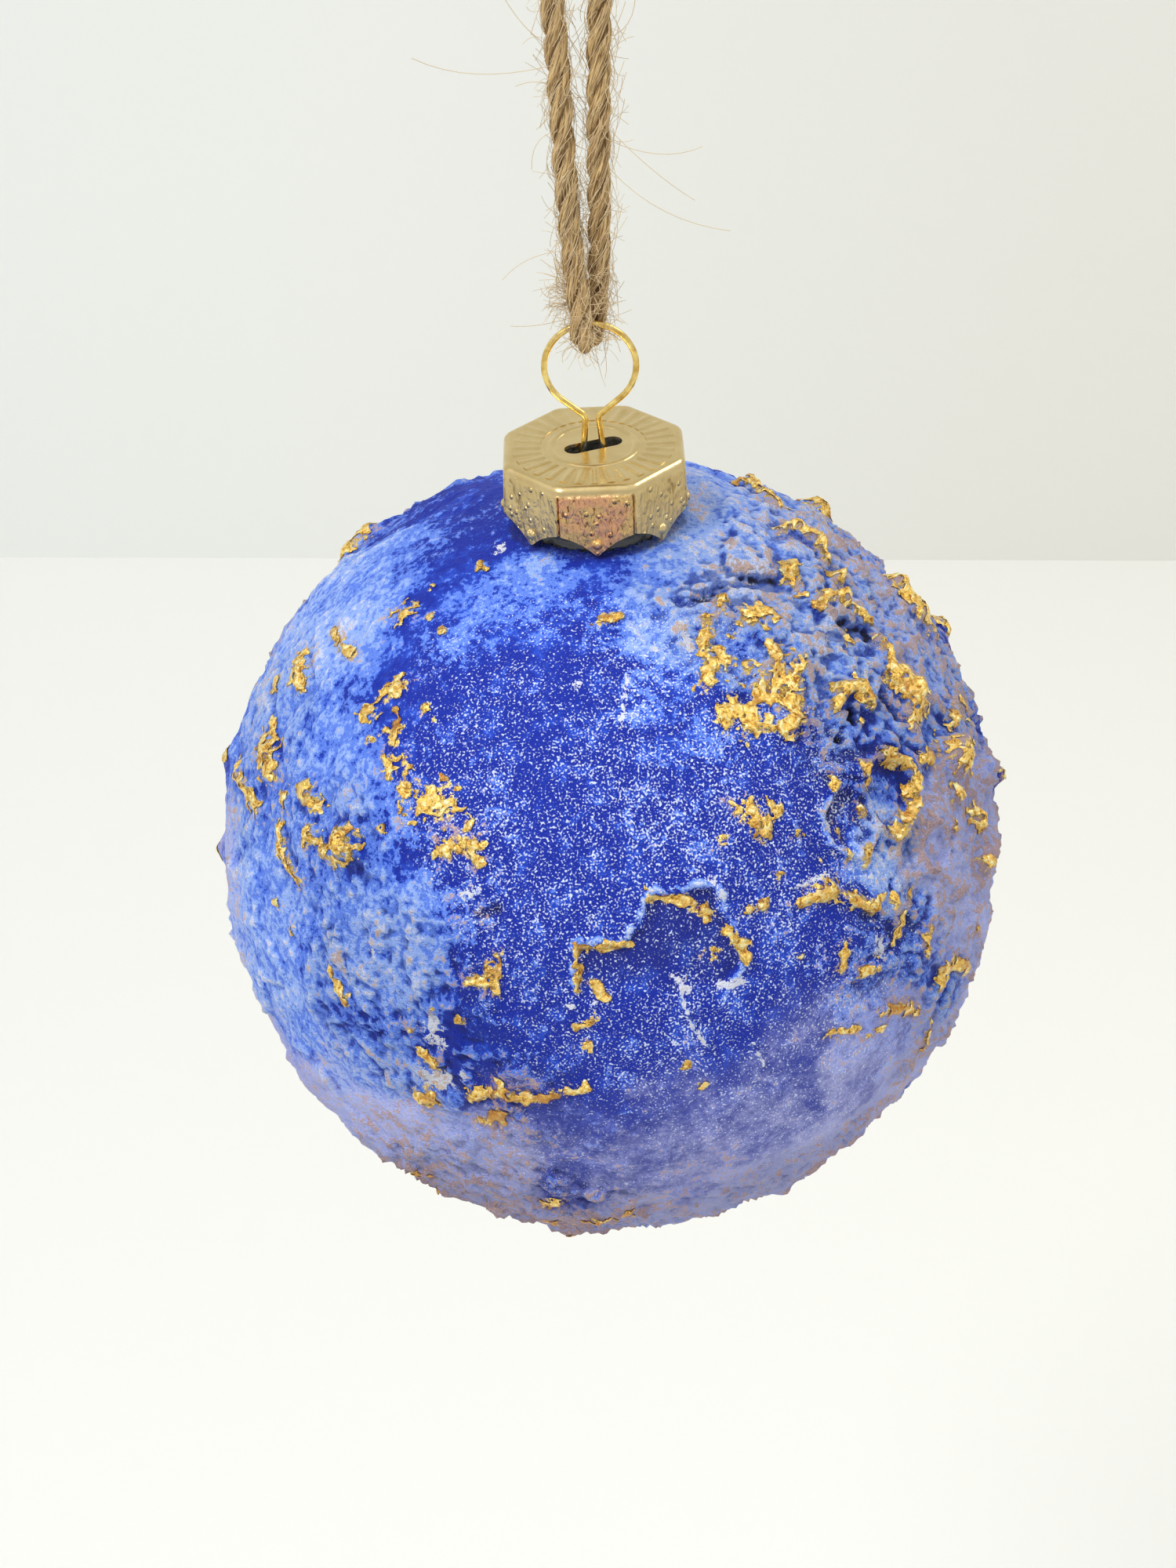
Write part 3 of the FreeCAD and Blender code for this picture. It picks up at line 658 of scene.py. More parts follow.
# %% Chalk and shade strokes
CHALK = [
    (0.3, 0.2, (27, 26), (33, 26)), (0.35, 0.0, (36, 32), (35, 28)), (0.5, 0.2, (16, 29), (16, 28)),
    (0.9, 0.0, (39, 14), (39, 12)), (0.6, 0.1, (40, 23)), (0.7, 0.1, (46, 24)),
    (0.45, 0.2, (15, 30), (16, 28)), (0.5, 0.1, (8, 18), (10, 16)), (0.5, 0.1, (14, 16), (17, 16)),
    (0.6, 0.3, (-6, 15)), (0.5, 0.3, (-3, 15)), (1.1, 0.0, (-25, 10), (-25, 7)),
    (1.2, 0.0, (-27, 0), (-24, 0)), (0.8, 0.0, (-21, 2)), (0.9, 0.0, (-35, 17)),
    (0.6, 0.3, (-22, 28), (-20, 29)), (0.4, 0.2, (32, 51), (31, 48)),
    (0.22, 0.4, (9, 17), (9, 14), (10, 11), (12, 7)), (0.2, 0.35, (18, 7), (20, 1)),
    (0.9, 0.1, (-62, 75)), (0.35, 0.1, (3, 60), (6, 58), (4, 53), (3, 50)), (0.5, 0.2, (-6, 57)),
    (0.7, 0.1, (15, 61)), (0.5, 0.0, (24, 60), (24, 64)), (0.5, 0.1, (60, 45)), (1.0, 0.0, (140, 30)),
    (1.1, 0.0, (-155, 0)), (0.9, 0.0, (168, -12)), (0.8, 0.0, (-110, 30)), (0.6, 0.0, (53, 8)),
]
# Shade strokes: the dark colour they give the coat is painted shade in the hollows they press in.
SHADE = [
    (0.55, -1.3, (51, 43), (50, 42)), (0.5, -1.2, (45, 41)), (1.0, -0.45, (36, 67), (52, 66), (62, 63)),
    (0.9, -0.5, (66, 52), (70, 48)), (0.6, -0.5, (61, 42), (60, 38)), (0.5, -0.4, (-19, 26), (-17, 27)),
    (0.6, -0.3, (52, 24), (49, 22)), (0.5, -0.3, (39, 34), (37, 33)), (0.5, -0.3, (44, 15), (46, 13)),
    (0.5, -0.2, (-24, 2), (-21, 0)), (0.5, -0.2, (-40, 27)), (0.7, -0.5, (150, 10)),
    (0.7, -0.5, (-150, -12)),
]

print("chalk strokes", len(CHALK), "shade strokes", len(SHADE))

# %% Larger forms
# They lie close to the fixed frame's own: lumps (place, radius, rise), burst bubbles (place, radius, rim)
# and raised plates (place, radius, rise, waves, depth, turn).
LUMPS = [
    (109, 24, 5.5, 1.8), (94, 6, 5.0, 1.5), (88, -10, 5.5, 1.2), (68, 38, 5.0, 0.7), (70, 27, 5.0, 1.1),
    (72, 8, 5.5, 1.1), (80, 17, 4.5, 1.3), (55, 45, 4.5, 1.0), (92, 44, 6.0, 1.2), (-80, 40, 5.0, 0.8),
    (-44, 29, 4.5, 0.8), (-74, 26, 5.5, 0.8), (-91, 0, 5.0, 1.2), (-90, 18, 5.0, 1.1), (-13, -52, 6.0, 1.2),
    (-42, -45, 6.0, 1.1), (6, -56, 5.0, 1.0), (32, -42, 6.0, 0.7), (62, -30, 6.0, 0.7), (130, 42, 5.5, 1.1),
    (148, 2, 6.0, 1.3), (172, -30, 6.0, 1.1), (-160, 22, 6.0, 1.2), (-138, -20, 5.5, 1.3),
    (-122, 47, 5.5, 0.9), (168, 58, 5.4, 0.9), (-108, -42, 6.0, 1.0), (122, -24, 5.5, 1.2),
    (140, -56, 6.0, 1.0),
]
BUBBLES = [(40, 31, 3.3, 0.7), (49, 31, 3.8, 0.8), (55, 20, 2.4, 0.6)]
PLATES = [
    (64, -8, 8.0, 0.5, 4, 0.18, 65), (84, 62, 7.5, 0.5, 5, 0.18, 10), (-66, 4, 7.5, 0.4, 5, 0.2, 10),
    (-50, -22, 8.5, 0.4, 4, 0.15, 40), (-12, -28, 8.0, 0.5, 5, 0.15, 0), (112, -2, 8.0, 0.6, 4, 0.2, 30),
    (150, 26, 9.5, 0.6, 5, 0.18, 15), (-168, -8, 10.0, 0.5, 4, 0.2, 80), (-118, 14, 9.0, 0.6, 5, 0.18, 50),
    (-78, -36, 7.0, 0.5, 5, 0.15, 0), (96, -44, 8.5, 0.5, 5, 0.15, 0), (0, -82, 9.0, 0.5, 5, 0.15, 30),
]
# The torn skin in front: inside this outline the coat lies deeper, most of all under its upper edge.
TORN = [(-5, 16), (-5, 23), (2, 23), (6, 29), (15, 29), (18, 20), (14, 14), (4, 12)]
print("lumps", len(LUMPS), "bubbles", len(BUBBLES), "plates", len(PLATES))

# %% [markdown]
# ## The coat's mesh
# A cube cut into even squares and blown up to a sphere has squares of nearly one size all over, with no
# crowded poles. The squares are then drawn a little towards the front, where the coat has its finest
# detail. A search tree over the corners finds the few that each stroke touches.

# %% Even sphere
squares = 121
front = toward(0, 33)
front_pull = 0.25
coat_bm = bmesh.new()
bmesh.ops.create_cube(coat_bm, size=2)
bmesh.ops.subdivide_edges(coat_bm, edges=coat_bm.edges, cuts=squares - 1, use_grid_fill=True)
corners = []
for vert in coat_bm.verts:
    x, y, z = (math.tan(v * math.pi / 4) for v in vert.co)
    corners.append((Vector((x, y, z)).normalized() + front * front_pull).normalized())
tree = kdtree.KDTree(len(corners))
for index, corner in enumerate(corners):
    tree.insert(corner, index)
tree.balance()
coat_round = 41.0
crumble = [noise.fractal(d * coat_round / 2.6, 0.9, 2.1, 4) for d in corners]
print("coat corners", len(corners))


# %% Laying strokes
stroke_step = 0.33
halo = 3.2  # how many half-widths a stroke's mask reaches


def stroke_line(points):
    """Directions every third of a millimetre along the short way between places."""
    ends = [toward(*p) for p in points]
    line = [ends[0]]
    for a, b in zip(ends, ends[1:]):
        count = max(1, round((b - a).length * coat_round / stroke_step))
        line += [a.lerp(b, (i + 1) / count).normalized() for i in range(count)]
    return line


def lay(strokes, mask, lift):
    """Lays strokes on the coat: mask falls from 1 to 0 over the halo, and lift is how far it rises."""
    for half_width, rise, *points in strokes:
        near = {}
        for middle in stroke_line(points):
            for _, index, away in tree.find_range(middle, halo * half_width / coat_round):
                near[index] = min(away, near.get(index, 9.0))
        for index, away in near.items():
            ragged = away * coat_round / half_width * (1 + 0.45 * crumble[index])
            mask[index] = max(mask[index], 1 - max(0.0, ragged) / halo)
            lift[index] += rise * (1 - smooth(0.4, 1.35, ragged))


leaf_map, chalk_map, shade_map = ([0.0] * len(corners) for _ in range(3))
stroke_lift = [0.0] * len(corners)
for group in LEAF.values():
    lay(group, leaf_map, stroke_lift)
lay(CHALK, chalk_map, stroke_lift)
lay(SHADE, shade_map, stroke_lift)
print("corners under leaf", sum(value > 0.5 for value in leaf_map))

# %% [markdown]
# ## Relief
# Each corner moves out by the sum of the forms at its place: swells and crumbs from noise, stepped as torn
# paste is, then the lumps, bubbles, plates and strokes. A Displace modifier could do the noise, but not the
# forms that are listed one by one, so one function adds them all.


# %% Areas
def facing(lon, lat):
    """Directions east and north at a place."""
    turn_to = Vector((0, 0, 1)).rotation_difference(toward(lon, lat))
    return turn_to @ Vector((1, 0, 0)), turn_to @ Vector((0, 1, 0))


def spots(places):
    """Areas as directions, reaches in radians and strengths."""
    return [(toward(lon, lat), math.radians(reach), strength) for lon, lat, reach, strength in places]


def amount(d, places):
    """The strongest of some soft-edged areas at a direction."""
    most = 0.0
    for middle, reach, strength in places:
        away = d.angle(middle)
        if away < 1.35 * reach:
            most = max(most, strength * (1 - smooth(0.6 * reach, 1.35 * reach, away)))
    return most


def drift(p):
    """Three noises at a point, as a vector."""
    return Vector((noise.noise(p), noise.noise(p + Vector((9, 0, 0))), noise.noise(p + Vector((0, 9, 0)))))


def wander(d, size, share):
    """A direction pushed aside by noise about size millimetres across, so that an area's edge is ragged."""
    return (d + drift(d * coat_round / size) * share).normalized()


band_spots, rough_spots, pale_spots, lilac_spots, grain_spots = map(spots, (BAND, ROUGH, PALE, LILAC, GRAINS))
lump_places = [(toward(lon, lat), radius, rise) for lon, lat, radius, rise in LUMPS]
bubble_places = [(toward(lon, lat), radius, rim) for lon, lat, radius, rim in BUBBLES]
plate_places = [(toward(lon, lat), *facing(lon, lat), radius, rise, waves, depth, math.radians(turned))
                for lon, lat, radius, rise, waves, depth, turned in PLATES]
torn_place = (6, 20)
torn_middle = toward(*torn_place)
torn_east, torn_north = facing(*torn_place)
torn_outline = [Vector((toward(*p).dot(torn_east), toward(*p).dot(torn_north))) * coat_round for p in TORN]


# %% Torn skin
# Cosines of the angles past which a form can't reach, so that most corners skip most forms.
near_torn, near_lump, near_bubble, near_plate = 0.95, 0.985, 0.98, 0.93
far_outside = -9.0


def depth_inside(spot, outline):
    """Distance from a flat point to an outline, positive inside it."""
    inside = False
    nearest = math.inf
    for a, b in zip(outline, outline[1:] + outline[:1]):
        along = max(0.0, min(1.0, (spot - a).dot(b - a) / (b - a).length_squared))
        nearest = min(nearest, (a + (b - a) * along - spot).length)
        if (a.y > spot.y) != (b.y > spot.y) and spot.x < a.x + (b.x - a.x) * (spot.y - a.y) / (b.y - a.y):
            inside = not inside
    return nearest if inside else -nearest


def torn_skin(d, mid):
    """How far inside the torn skin's edge a direction lies, and how fully that edge stands there."""
    if d.dot(torn_middle) < near_torn:
        return far_outside, 0.0
    spot = Vector((d.dot(torn_east), d.dot(torn_north))) * coat_round
    return depth_inside(spot, torn_outline) + 0.6 * mid, smooth(-5.5, 1.0, spot.y)


# %% Forms and crust
def add_forms(height, d, mid):
    """Adds the lumps, bubbles and plates near a direction to the height there."""
    for middle, radius, rise in lump_places:
        if d.dot(middle) > near_lump:
            broken = d.angle(middle) * coat_round * (1 + 0.35 * mid)
            height += (rise - 0.2 + 0.35 * mid) * (1 - smooth(0.1 * radius, 0.8 * radius, broken))
    for middle, radius, rim in bubble_places:
        if d.dot(middle) > near_bubble:
            near = d.angle(middle) * coat_round * (1 + 0.12 * mid)
            height += rim * math.exp(-((near - radius) / (0.5 * rim)) ** 2)
            height -= 0.6 * rim * (1 - smooth(radius * 0.55, radius, near))
    for middle, east, north, radius, rise, waves, depth, turned in plate_places:
        if d.dot(middle) > near_plate:
            x, y = d.dot(east) * coat_round, d.dot(north) * coat_round
            a = math.atan2(y, x) - turned
            edge = radius * (1 + depth * (math.cos(waves * a) + 0.5 * math.sin((waves - 1) * a + turned)))
            inside = edge * (1 + 0.08 * mid) - math.hypot(x, y)
            lip = math.exp(-((inside - 0.45) / 0.5) ** 2)
            height += rise * smooth(-0.25, 0.35, inside) * 0.8 + 0.3 * lip * (0.5 + mid)
    return height


def relief(d, mid):
    """Height of the coat over the glass in millimetres, and how crusty it is, at a direction.

    mid is the crumble noise there, which every form shares so that their edges break up alike.
    """
    p = d * coat_round
    warp = drift(p / 6)
    bent = (d + warp * 0.06).normalized()
    band = amount(bent, band_spots)
    behind = smooth(-0.1, 0.5, d.y) * (0.3 + 0.6 * smooth(-0.3, 0.3, noise.noise(p / 14)))
    rough = max(amount(bent, rough_spots), behind, 0.3) * (1 - band)
    fine = noise.fractal(p / 1.1, 0.9, 2.1, 3)
    flaky = noise.fractal((p + warp * 4) / 3.8, 0.9, 2.1, 3)
    height = 0.5 + 0.2 * noise.fractal(p / 8, 0.9, 2.1, 3)
    height += rough * (0.2 * smooth(0.0, 0.25, mid) + 0.28 * smooth(0.32, 0.5, mid) + 0.16 * fine)
    height += rough * 0.45 * smooth(0.16, 0.25, flaky) - rough * 0.3 * smooth(0.2, 0.45, -flaky)
    height += (1 - band) * 0.06 * fine + 0.025 * fine + band * 0.05 * smooth(0.2, 0.35, mid)
    height = add_forms(height, d, mid)
    inside, share = torn_skin(d, mid)
    torn_lip = (0.4 + 0.5 * mid) * math.exp(-((inside + 0.4) / 0.4) ** 2)
    height += share * (torn_lip - 0.75 * smooth(-0.1, 0.4, inside))
    return height, rough


print("relief at the front, in mm", round(relief(front, 0.0)[0], 2))

# %% Coat
NAMES = ("crust", "leaf", "chalk", "shade", "pale", "lilac", "grains", "hollow")
layers = {name: coat_bm.verts.layers.float.new(name) for name in NAMES}
top_limit = 42.75  # the coat's greatest radius, so that it keeps close to the fixed frame's box
collar_low, collar_from, collar_to = 0.35, 10.8, 14.0  # it thins out under the cap
thinnest = 0.12
for index, (vert, d, mid) in enumerate(zip(coat_bm.verts, corners, crumble)):
    height, rough = relief(d, mid)
    from_axis = math.hypot(d.x, d.y) * coat_round if d.z > 0 else coat_round
    collar = smooth(collar_from, collar_to, from_axis)
    height = collar_low * (1 - collar) + (height + stroke_lift[index]) * collar
    radius = min(glass_radius / MM + max(height, thinnest), top_limit)
    vert.co = d * radius * MM + ball_centre
    inside, share = torn_skin(d, mid)
    skin = share * smooth(0.0, 0.6, inside) * (1 - smooth(3.5, 7.5, inside))
    edge = share * math.exp(-((inside + 0.4) / 0.35) ** 2) * min(1.0, max(0.2, 0.55 + 1.6 * mid))
    # Painted shadow of the cap's petals on the coat round the neck.
    cap_shadow = 1 - smooth(8.0, 9.4, from_axis * (1 + 0.1 * mid))
    vert[layers["crust"]] = rough
    vert[layers["leaf"]] = leaf_map[index]
    vert[layers["chalk"]] = max(chalk_map[index], edge * 0.8)
    # The shade map carries painted shade: the shade strokes, the inside of the torn skin and the cap's
    # painted shadow.
    vert[layers["shade"]] = max(shade_map[index], 0.55 * skin, cap_shadow)
    out_of_sight = smooth(-0.1, 0.5, max(d.y, -d.z - 0.3))
    loose = wander(wander(d, 12, 0.06 + 0.34 * out_of_sight), 4, 0.08 + 0.14 * out_of_sight)
    vert[layers["pale"]] = max(amount(loose, pale_spots), edge)
    vert[layers["lilac"]] = amount(loose, lilac_spots)
    vert[layers["grains"]] = amount(d, grain_spots) * (1 - 0.5 * skin)
print("lowest and highest, in mm", [round(f((v.co - ball_centre).length for v in coat_bm.verts) * 1000, 2)
                                    for f in (min, max)])

# %% [markdown]
# ## Hollows and crests
# The coat gets painted shade where it dips, and it is palest where a dry brush touches its crests. A smoothed
# copy of the mesh lies over the dips and under the crests, so the gap between the two tells them apart.

# %% Hollow map
smoothings = 7
eased = coat_bm.copy()
for _ in range(smoothings):
    bmesh.ops.smooth_vert(eased, verts=eased.verts, factor=0.5,
                          use_axis_x=True, use_axis_y=True, use_axis_z=True)
for vert, soft in zip(coat_bm.verts, eased.verts):
    vert[layers["hollow"]] = ((soft.co - ball_centre).length - (vert.co - ball_centre).length) / MM
eased.free()
print("deepest hollow, in mm", round(max(v[layers["hollow"]] for v in coat_bm.verts), 2))

# %% Coat piece
collar_hole = 7.5
near_neck = [f for f in coat_bm.faces if f.calc_center_median().z > ball_centre.z
             and math.hypot(*f.calc_center_median().xy) < collar_hole * MM]
bmesh.ops.delete(coat_bm, geom=near_neck, context="FACES")
coat_data = bpy.data.meshes.new("painted_coat")
coat_bm.to_mesh(coat_data)
print("coat faces", len(coat_bm.faces))
coat = piece("painted_coat", coat_data, "ball")
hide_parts("texture_coat")

# %% [markdown]
# ## Gold leaf
# Leaf tears where it is not held. The flakes are lifted off the coat's own mesh where the leaf map is
# strong, cut finer, trimmed along a noisy edge so that they look torn, crumpled, and given thickness.

# %% Leaf flakes
leaf_bm = coat_bm
leaf_edge = 0.74
bare_below = 0.35
few = [f for f in leaf_bm.faces if max(v[layers["leaf"]] for v in f.verts) < bare_below]
bmesh.ops.delete(leaf_bm, geom=few, context="FACES")
bmesh.ops.subdivide_edges(leaf_bm, edges=leaf_bm.edges, cuts=1, use_grid_fill=True)


def leaf_value(vert):
    """The leaf map at a corner, made ragged by noise of three sizes."""
    p = (vert.co - ball_centre) / MM
    value = vert[layers["leaf"]]
    for share, size in ((0.4, 1.3), (0.42, 0.7), (0.3, 0.36)):
        value += share * noise.noise(p / size)
    return value


values = {vert: leaf_value(vert) for vert in leaf_bm.verts}
bmesh.ops.delete(leaf_bm, geom=[f for f in leaf_bm.faces if sum(values[v] > leaf_edge for v in f.verts) < 2],
                 context="FACES")
moves = {}
for vert in leaf_bm.verts:
    if values[vert] >= leaf_edge:
        continue
    inside = [e.other_vert(vert) for e in vert.link_edges if values[e.other_vert(vert)] > leaf_edge]
    if inside:
        trims = [vert.co.lerp(v.co, (leaf_edge - values[vert]) / (values[v] - values[vert])) for v in inside]
        moves[vert] = sum(trims, Vector()) / len(trims)
for vert, spot in moves.items():
    vert.co = spot
for vert in leaf_bm.verts:
    out = (vert.co - ball_centre).normalized()
    crumple = noise.noise(vert.co / (0.5 * MM)) + 0.5 * noise.noise(vert.co / (0.24 * MM))
    vert.co += out * (0.1 + 0.05 * crumple) * MM
leaf_data = bpy.data.meshes.new("leaf_flakes")
leaf_bm.to_mesh(leaf_data)
leaf_bm.free()
leaf = piece("leaf_flakes", leaf_data, "ball")
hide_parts("gold_leaf")
thick = leaf.modifiers.new("thickness", "SOLIDIFY")
thick.thickness = 0.05 * MM
thick.offset = 1.0
print("leaf faces", len(leaf_data.polygons))

# %% [markdown]
# ## Paint
# Ultramarine lies underneath, with royal blue worked into it. Cornflower is dragged over the crests, lilac
# paint with a painted sheen hazes the sides and the underside, painted shade darkens the dips, and bare paste
# shows chalky. A dust of white grains is thickest on the smooth band, and powdered leaf clings round the
# flakes and to the roughest crests.
# The layers go on in the painter's order, and each one's edge is a map from the mesh plus noise.

# %% Paint maps
paint = Finish("layered_paint", Specular_IOR_Level=0.2, Sheen_Weight=0.06, Sheen_Tint=linear(200, 208, 255))
where = paint.place()
crust, leafed, chalky, shaded, pale, lilac, grains, hollow = (paint.attribute(name) for name in NAMES)
blotch = paint.grain(where, 9 * MM, 4.0, 0.62)
dabs = paint.grain(where, 2.4 * MM, 5.0, 0.66)
tall = paint.node("ShaderNodeMapping", {}, {"Vector": where, "Scale": (1.0, 1.0, 0.32)})
streaks = paint.grain(tall, 0.8 * MM, 3.0, 0.7)
speck = paint.grain(where, 0.6 * MM, 4.0, 0.75)
dots = paint.grain(where, 0.2 * MM, 0.5, 0.5)

print("maps on the coat", len(NAMES))

# %% Blues
ultramarine, royal = linear(14, 40, 156), linear(40, 84, 212)
colour = paint.blend(paint.ramp(dabs * 0.7 + streaks * 0.3 + pale * 0.2, 0.46, 0.7), ultramarine, royal)
colour = paint.blend(paint.ramp(lilac, 0.0, 0.8) * 0.6, colour, linear(88, 97, 173))
dragged = pale * 0.85 - hollow * 1.9 + (blotch - 0.5) * 1.3 + (dabs - 0.5) * 1.6 + (speck - 0.5) * 1.5
dragged = dragged + (streaks - 0.5) * 0.8 + crust * 0.16
cornflower, sky_blue, near_white = (92, 130, 230), (146, 176, 242), (206, 214, 240)
for low, high, shade in ((0.27, 0.43, cornflower), (0.62, 0.85, sky_blue), (1.0, 1.3, near_white)):
    colour = paint.blend(paint.ramp(dragged, low, high), colour, linear(*shade))
# Painted sheen together with lilac paint: a pale lavender cast over the sides and the underside.
lilac_and_sheen = paint.ramp(lilac + (blotch - 0.5) * 0.9 + (dabs - 0.5) * 0.7 + (speck - 0.5) * 0.5, 0.25, 0.95)
colour = paint.blend(lilac_and_sheen * 0.85, colour, linear(182, 186, 234))
# Painted shade: the coat goes dark navy in its hollows, most of all in the crust and under the shade map.
painted_hollow_shade = paint.ramp(hollow * (0.5 + crust * 0.8) + shaded * 0.3 + (speck - 0.5) * 0.15, 0.04, 0.22)
colour = paint.blend(painted_hollow_shade * (0.86 - lilac_and_sheen * 0.45 - pale * 0.3), colour, linear(28, 36, 116))
# Painted shade: nearly black where the shade map and a deep hollow meet.
pit_shadow = paint.ramp(shaded, 0.6, 0.8) * paint.ramp(hollow, 0.1, 0.3)
colour = paint.blend(pit_shadow, colour, linear(12, 14, 40))
print("paint nodes so far", len(paint.tree.nodes))

# %% Chalk and grains
bare = paint.ramp(chalky + (dabs - 0.5) * 0.9 + (speck - 0.5) * 1.1, 0.76, 0.86)
stray_chalk = paint.ramp(blotch * 0.5 + dabs * 0.5 + speck * 0.3 + crust * 0.1, 0.84, 0.92)
colour = paint.blend(bare + stray_chalk * 0.8 * (1.0 - bare), colour, linear(214, 216, 226))
dusted = paint.ramp(dots + (blotch - 0.5) * 0.18 + (dabs - 0.5) * 0.25 + grains * 0.1, 0.62, 0.86)
colour = paint.blend(dusted * paint.ramp(grains, 0.0, 0.4) * 0.95, colour, linear(222, 232, 255))
print("paint nodes so far", len(paint.tree.nodes))

# %% Powdered leaf and surface
powder = leafed * 0.35 + crust * 0.18 + lilac * 0.24 - hollow * 1.2 * crust + (speck - 0.5) * 1.6
powder = paint.ramp(powder + (dabs - 0.5) * 1.4 + (blotch - 0.5) * 1.1, 0.42, 0.56)
bronze = paint.blend(paint.ramp(speck, 0.45, 0.7), linear(172, 128, 96), linear(220, 172, 122))
colour = paint.blend(powder * 0.65, colour, bronze)
gilt = paint.ramp(leafed + (dabs - 0.5) * 0.8 + (speck - 0.5) * 1.5, 0.76, 0.86)
# Gold on the coat: tone that varies, with painted glints in its brightest speckles.
gold_tone_and_glint = paint.blend(paint.ramp(speck, 0.42, 0.62), linear(176, 120, 48), linear(255, 226, 130))
colour = paint.blend(gilt, colour, gold_tone_and_glint)
metal = gilt * 0.95 + powder * 0.3 * (1.0 - gilt)
grit = dabs * 0.6 * crust + speck * (0.4 + crust * 1.1) + dots * 0.25 + streaks * 0.3
bumps = paint.bump(grit, 0.55 * MM)
paint.set(Base_Color=colour, Metallic=metal, Roughness=0.66 - gilt * 0.36 - dusted * 0.1, Normal=bumps)
wear(coat, paint)

# %% [markdown]
# ## Leaf
# Real leaf is brass or gold beaten so thin that it wrinkles over every crumb. One noise carries both its
# crumpling and the painted highlights and painted dark reflections of its facets. Random patches of the
# flakes are tarnished to bronze, and the flakes are made more bronze towards the bottom of the ball.

# %% Leaf finish
gold = Finish("gold_leaf", Metallic=1.0)
spot = gold.place()
crumple = gold.grain(spot, 0.55 * MM, 4.0, 0.7, 0.6)
tarnish = gold.grain(spot, 3.5 * MM, 3.0, 0.6)
# Painted reflections: dull and bright facets from the crumple noise, topped by a painted highlight colour.
leaf_gold = gold.blend(gold.ramp(crumple, 0.34, 0.5), linear(166, 112, 50), linear(250, 206, 104))
leaf_gold = gold.blend(gold.ramp(crumple, 0.5, 0.62), leaf_gold, linear(255, 246, 186))
high = gold.node("ShaderNodeSeparateXYZ", {}, {"Vector": spot}, "Z")
low_down = gold.ramp(high, ball_centre.z + 14 * MM, ball_centre.z - 14 * MM)
leaf_gold = gold.blend(gold.ramp(tarnish + low_down * 0.2, 0.54, 0.7) * 0.75, leaf_gold, linear(184, 122, 62))
gold.set(Base_Color=leaf_gold, Roughness=0.22 + crumple * 0.22, Normal=gold.bump(crumple, 0.35 * MM))
wear(leaf, gold)

# %% [markdown]
# ## Metal
# The cap is thin plated sheet. Its petals are stamped with beads and orange peel, and the front petal is
# worn down to copper. The shape is already right in the fixed frame, so only a finish is given, and its
# sides are told from its top by their height.

# %% Cap finish
plate = Finish("plated_cap", Metallic=1.0)
at = plate.place()
across, deep, high = (plate.node("ShaderNodeSeparateXYZ", {}, {"Vector": at}, axis) for axis in "XYZ")
skirt = plate.ramp(high, cap_high[2] - 0.7 * MM, cap_high[2] - 1.3 * MM)
drawn_down = plate.node("ShaderNodeMapping", {}, {"Vector": at, "Scale": (1.0, 1.0, 0.4)})
peel = plate.grain(drawn_down, 0.75 * MM, 3.0, 0.6, 0.4)
cells = {"Vector": at, "Scale": 1 / (1.1 * MM), "Randomness": 0.9}
beads = plate.node("ShaderNodeTexVoronoi", {}, cells, "Distance")
beads = plate.ramp(beads, 0.26, 0.12)
clouds = plate.grain(at, 2.2 * MM, 3.0, 0.6)
brassy = plate.blend(clouds, linear(200, 172, 112), linear(232, 210, 156))
brassy = plate.blend(plate.ramp(peel, 0.42, 0.3) * skirt * 0.7, brassy, linear(140, 112, 62))
panel_edge = (cap_high[0] - cap_low[0]) / 2 * math.tan(math.pi / 8) * 0.97
front_only = plate.ramp(deep, -5 * MM, -6 * MM)
worn = plate.ramp(across * across, panel_edge ** 2, (0.97 * panel_edge) ** 2) * front_only
scratches = plate.grain(drawn_down, 0.3 * MM, 4.0, 0.7, 0.8)
copper = plate.blend(plate.ramp(clouds, 0.42, 0.6), linear(240, 176, 128), linear(232, 190, 120))
copper = plate.blend(plate.ramp(scratches, 0.45, 0.37), copper, linear(120, 76, 40))
stamped = (beads * 0.7 + peel * 1.2 + scratches * worn * 0.6) * skirt + peel * 0.08
plate.set(Base_Color=plate.blend(worn * skirt * 0.9, brassy, copper), Roughness=0.24 + skirt * 0.1,
          Normal=plate.bump(stamped, 0.3 * MM, 0.9))
wear(nodes["ornament_cap"], plate)

# %% [markdown]
# ## Wire and glass
# The hanger is bright drawn wire. The blown glass is hidden by its coat, but it gets a clear finish all
# the same, since the ball may be used without the coat.

# %% Wire finish
bright = Finish("bright_wire", Metallic=1.0)
drawn = bright.grain(bright.place(), 1.2 * MM, 2.0)
bright.set(Base_Color=bright.blend(bright.ramp(drawn, 0.3, 0.7), linear(206, 166, 84), linear(252, 226, 142)),
           Roughness=0.14 + drawn * 0.12)
wear(nodes["hanger_wire"], bright)

# %% Glass finish
clear = Finish("blown_glass", Roughness=0.05, Transmission_Weight=0.9, IOR=1.45)
cloud = clear.grain(clear.place(), 6 * MM, 2.0)
clear.set(Base_Color=clear.blend(cloud, linear(225, 232, 236), linear(240, 244, 246)))
wear(nodes["glass_ball"], clear)

# %% [markdown]
# ## Stage and light
# A pale table and wall, a bright sky, a soft key lamp in front and a weaker one behind: light from
# everywhere keeps the blues as they are written, and the lamps give the crust its small shadows.

# %% Stage helpers
def panel(name, corners, finish):
    mesh_bm = bmesh.new()
    mesh_bm.faces.new([mesh_bm.verts.new(c) for c in corners])
    mesh = bpy.data.meshes.new(name)
    mesh_bm.to_mesh(mesh)
    mesh_bm.free()
    obj = bpy.data.objects.new(name, mesh)
    bpy.context.scene.collection.objects.link(obj)
    wear(obj, finish)


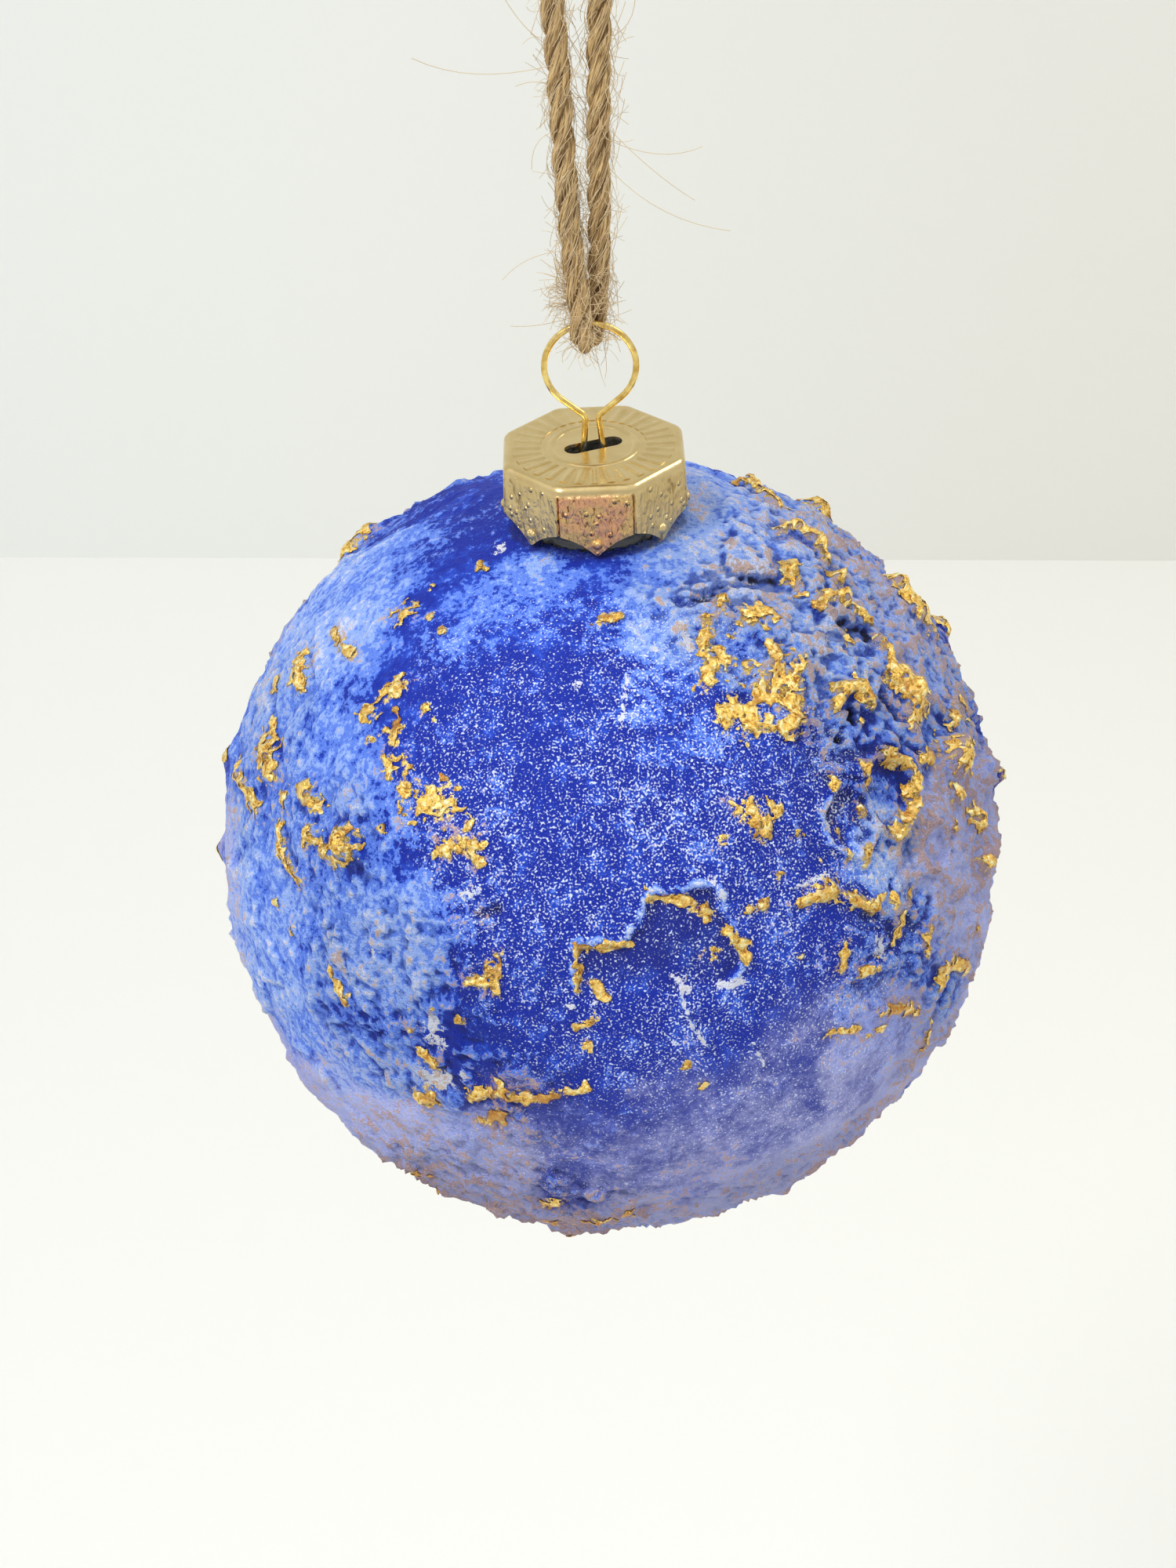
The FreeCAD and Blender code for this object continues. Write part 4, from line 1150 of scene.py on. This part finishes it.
def pale_finish(name, left, right):
    """A plain matt surface, a little greyer on its right as painted shade, with a faint cloudiness."""
    made = Finish(name, Roughness=0.9)
    at = made.place()
    across = made.ramp(made.node("ShaderNodeSeparateXYZ", {}, {"Vector": at}, "X"), -0.3, 0.3)
    cloud = made.grain(at, 0.3, 2.0)
    made.set(Base_Color=made.blend(cloud * 0.15, made.blend(across, left, right), linear(255, 255, 250)))
    return made


# %% Stage
floor_height = -0.5
wall_place, wall_turn = 0.752, math.radians(5)
reach = 3.0
slant = reach * math.tan(wall_turn)
left_foot = (-reach, wall_place + slant, floor_height)
right_foot = (reach, wall_place - slant, floor_height)
table = pale_finish("pale_table", linear(246, 246, 240), linear(245, 244, 237))
# The wall's greyer right side is painted shade.
wall = pale_finish("pale_wall", linear(242, 244, 239), linear(233, 232, 224))
panel("table", [(-reach, -reach, floor_height), (reach, -reach, floor_height), right_foot, left_foot], table)
panel("wall", [left_foot, right_foot, (*right_foot[:2], reach), (*left_foot[:2], reach)], wall)

# %% Sky
world = bpy.data.worlds.new("sky")
bpy.context.scene.world = world
world.use_nodes = True
links = world.node_tree.links
direction = world.node_tree.nodes.new("ShaderNodeTexCoord")
overhead = world.node_tree.nodes.new("ShaderNodeVectorMath")
overhead.operation = "DOT_PRODUCT"
overhead.inputs[1].default_value = (-0.1, 0.4, 0.8)
evenness = world.node_tree.nodes.new("ShaderNodeMapRange")
for key, value in {"From Min": -0.4, "From Max": 0.8, "To Min": 0.68, "To Max": 1.15}.items():
    evenness.inputs[key].default_value = value
sky = world.node_tree.nodes["Background"]
sky.inputs["Color"].default_value = linear(248, 249, 252)
links.new(direction.outputs["Generated"], overhead.inputs[0])
links.new(overhead.outputs["Value"], evenness.inputs["Value"])
links.new(evenness.outputs["Result"], sky.inputs["Strength"])
print("sky nodes", len(world.node_tree.nodes))


# %% Lamps
def lamp(name, place, size, power):
    """A soft round lamp of size metres and power watts that points at the ball."""
    light = bpy.data.lights.new(name, "AREA")
    light.shape = "DISK"
    light.size = size
    light.energy = power
    obj = bpy.data.objects.new(name, light)
    bpy.context.scene.collection.objects.link(obj)
    aimed = (ball_centre - place).to_track_quat("-Z", "Y")
    obj.matrix_world = Matrix.Translation(place) @ aimed.to_matrix().to_4x4()


lamp("key", Vector((-0.22, -0.22, 0.36)), 0.16, 1.5)
lamp("rim", Vector((0.45, 0.2, 0.35)), 0.3, 1.0)
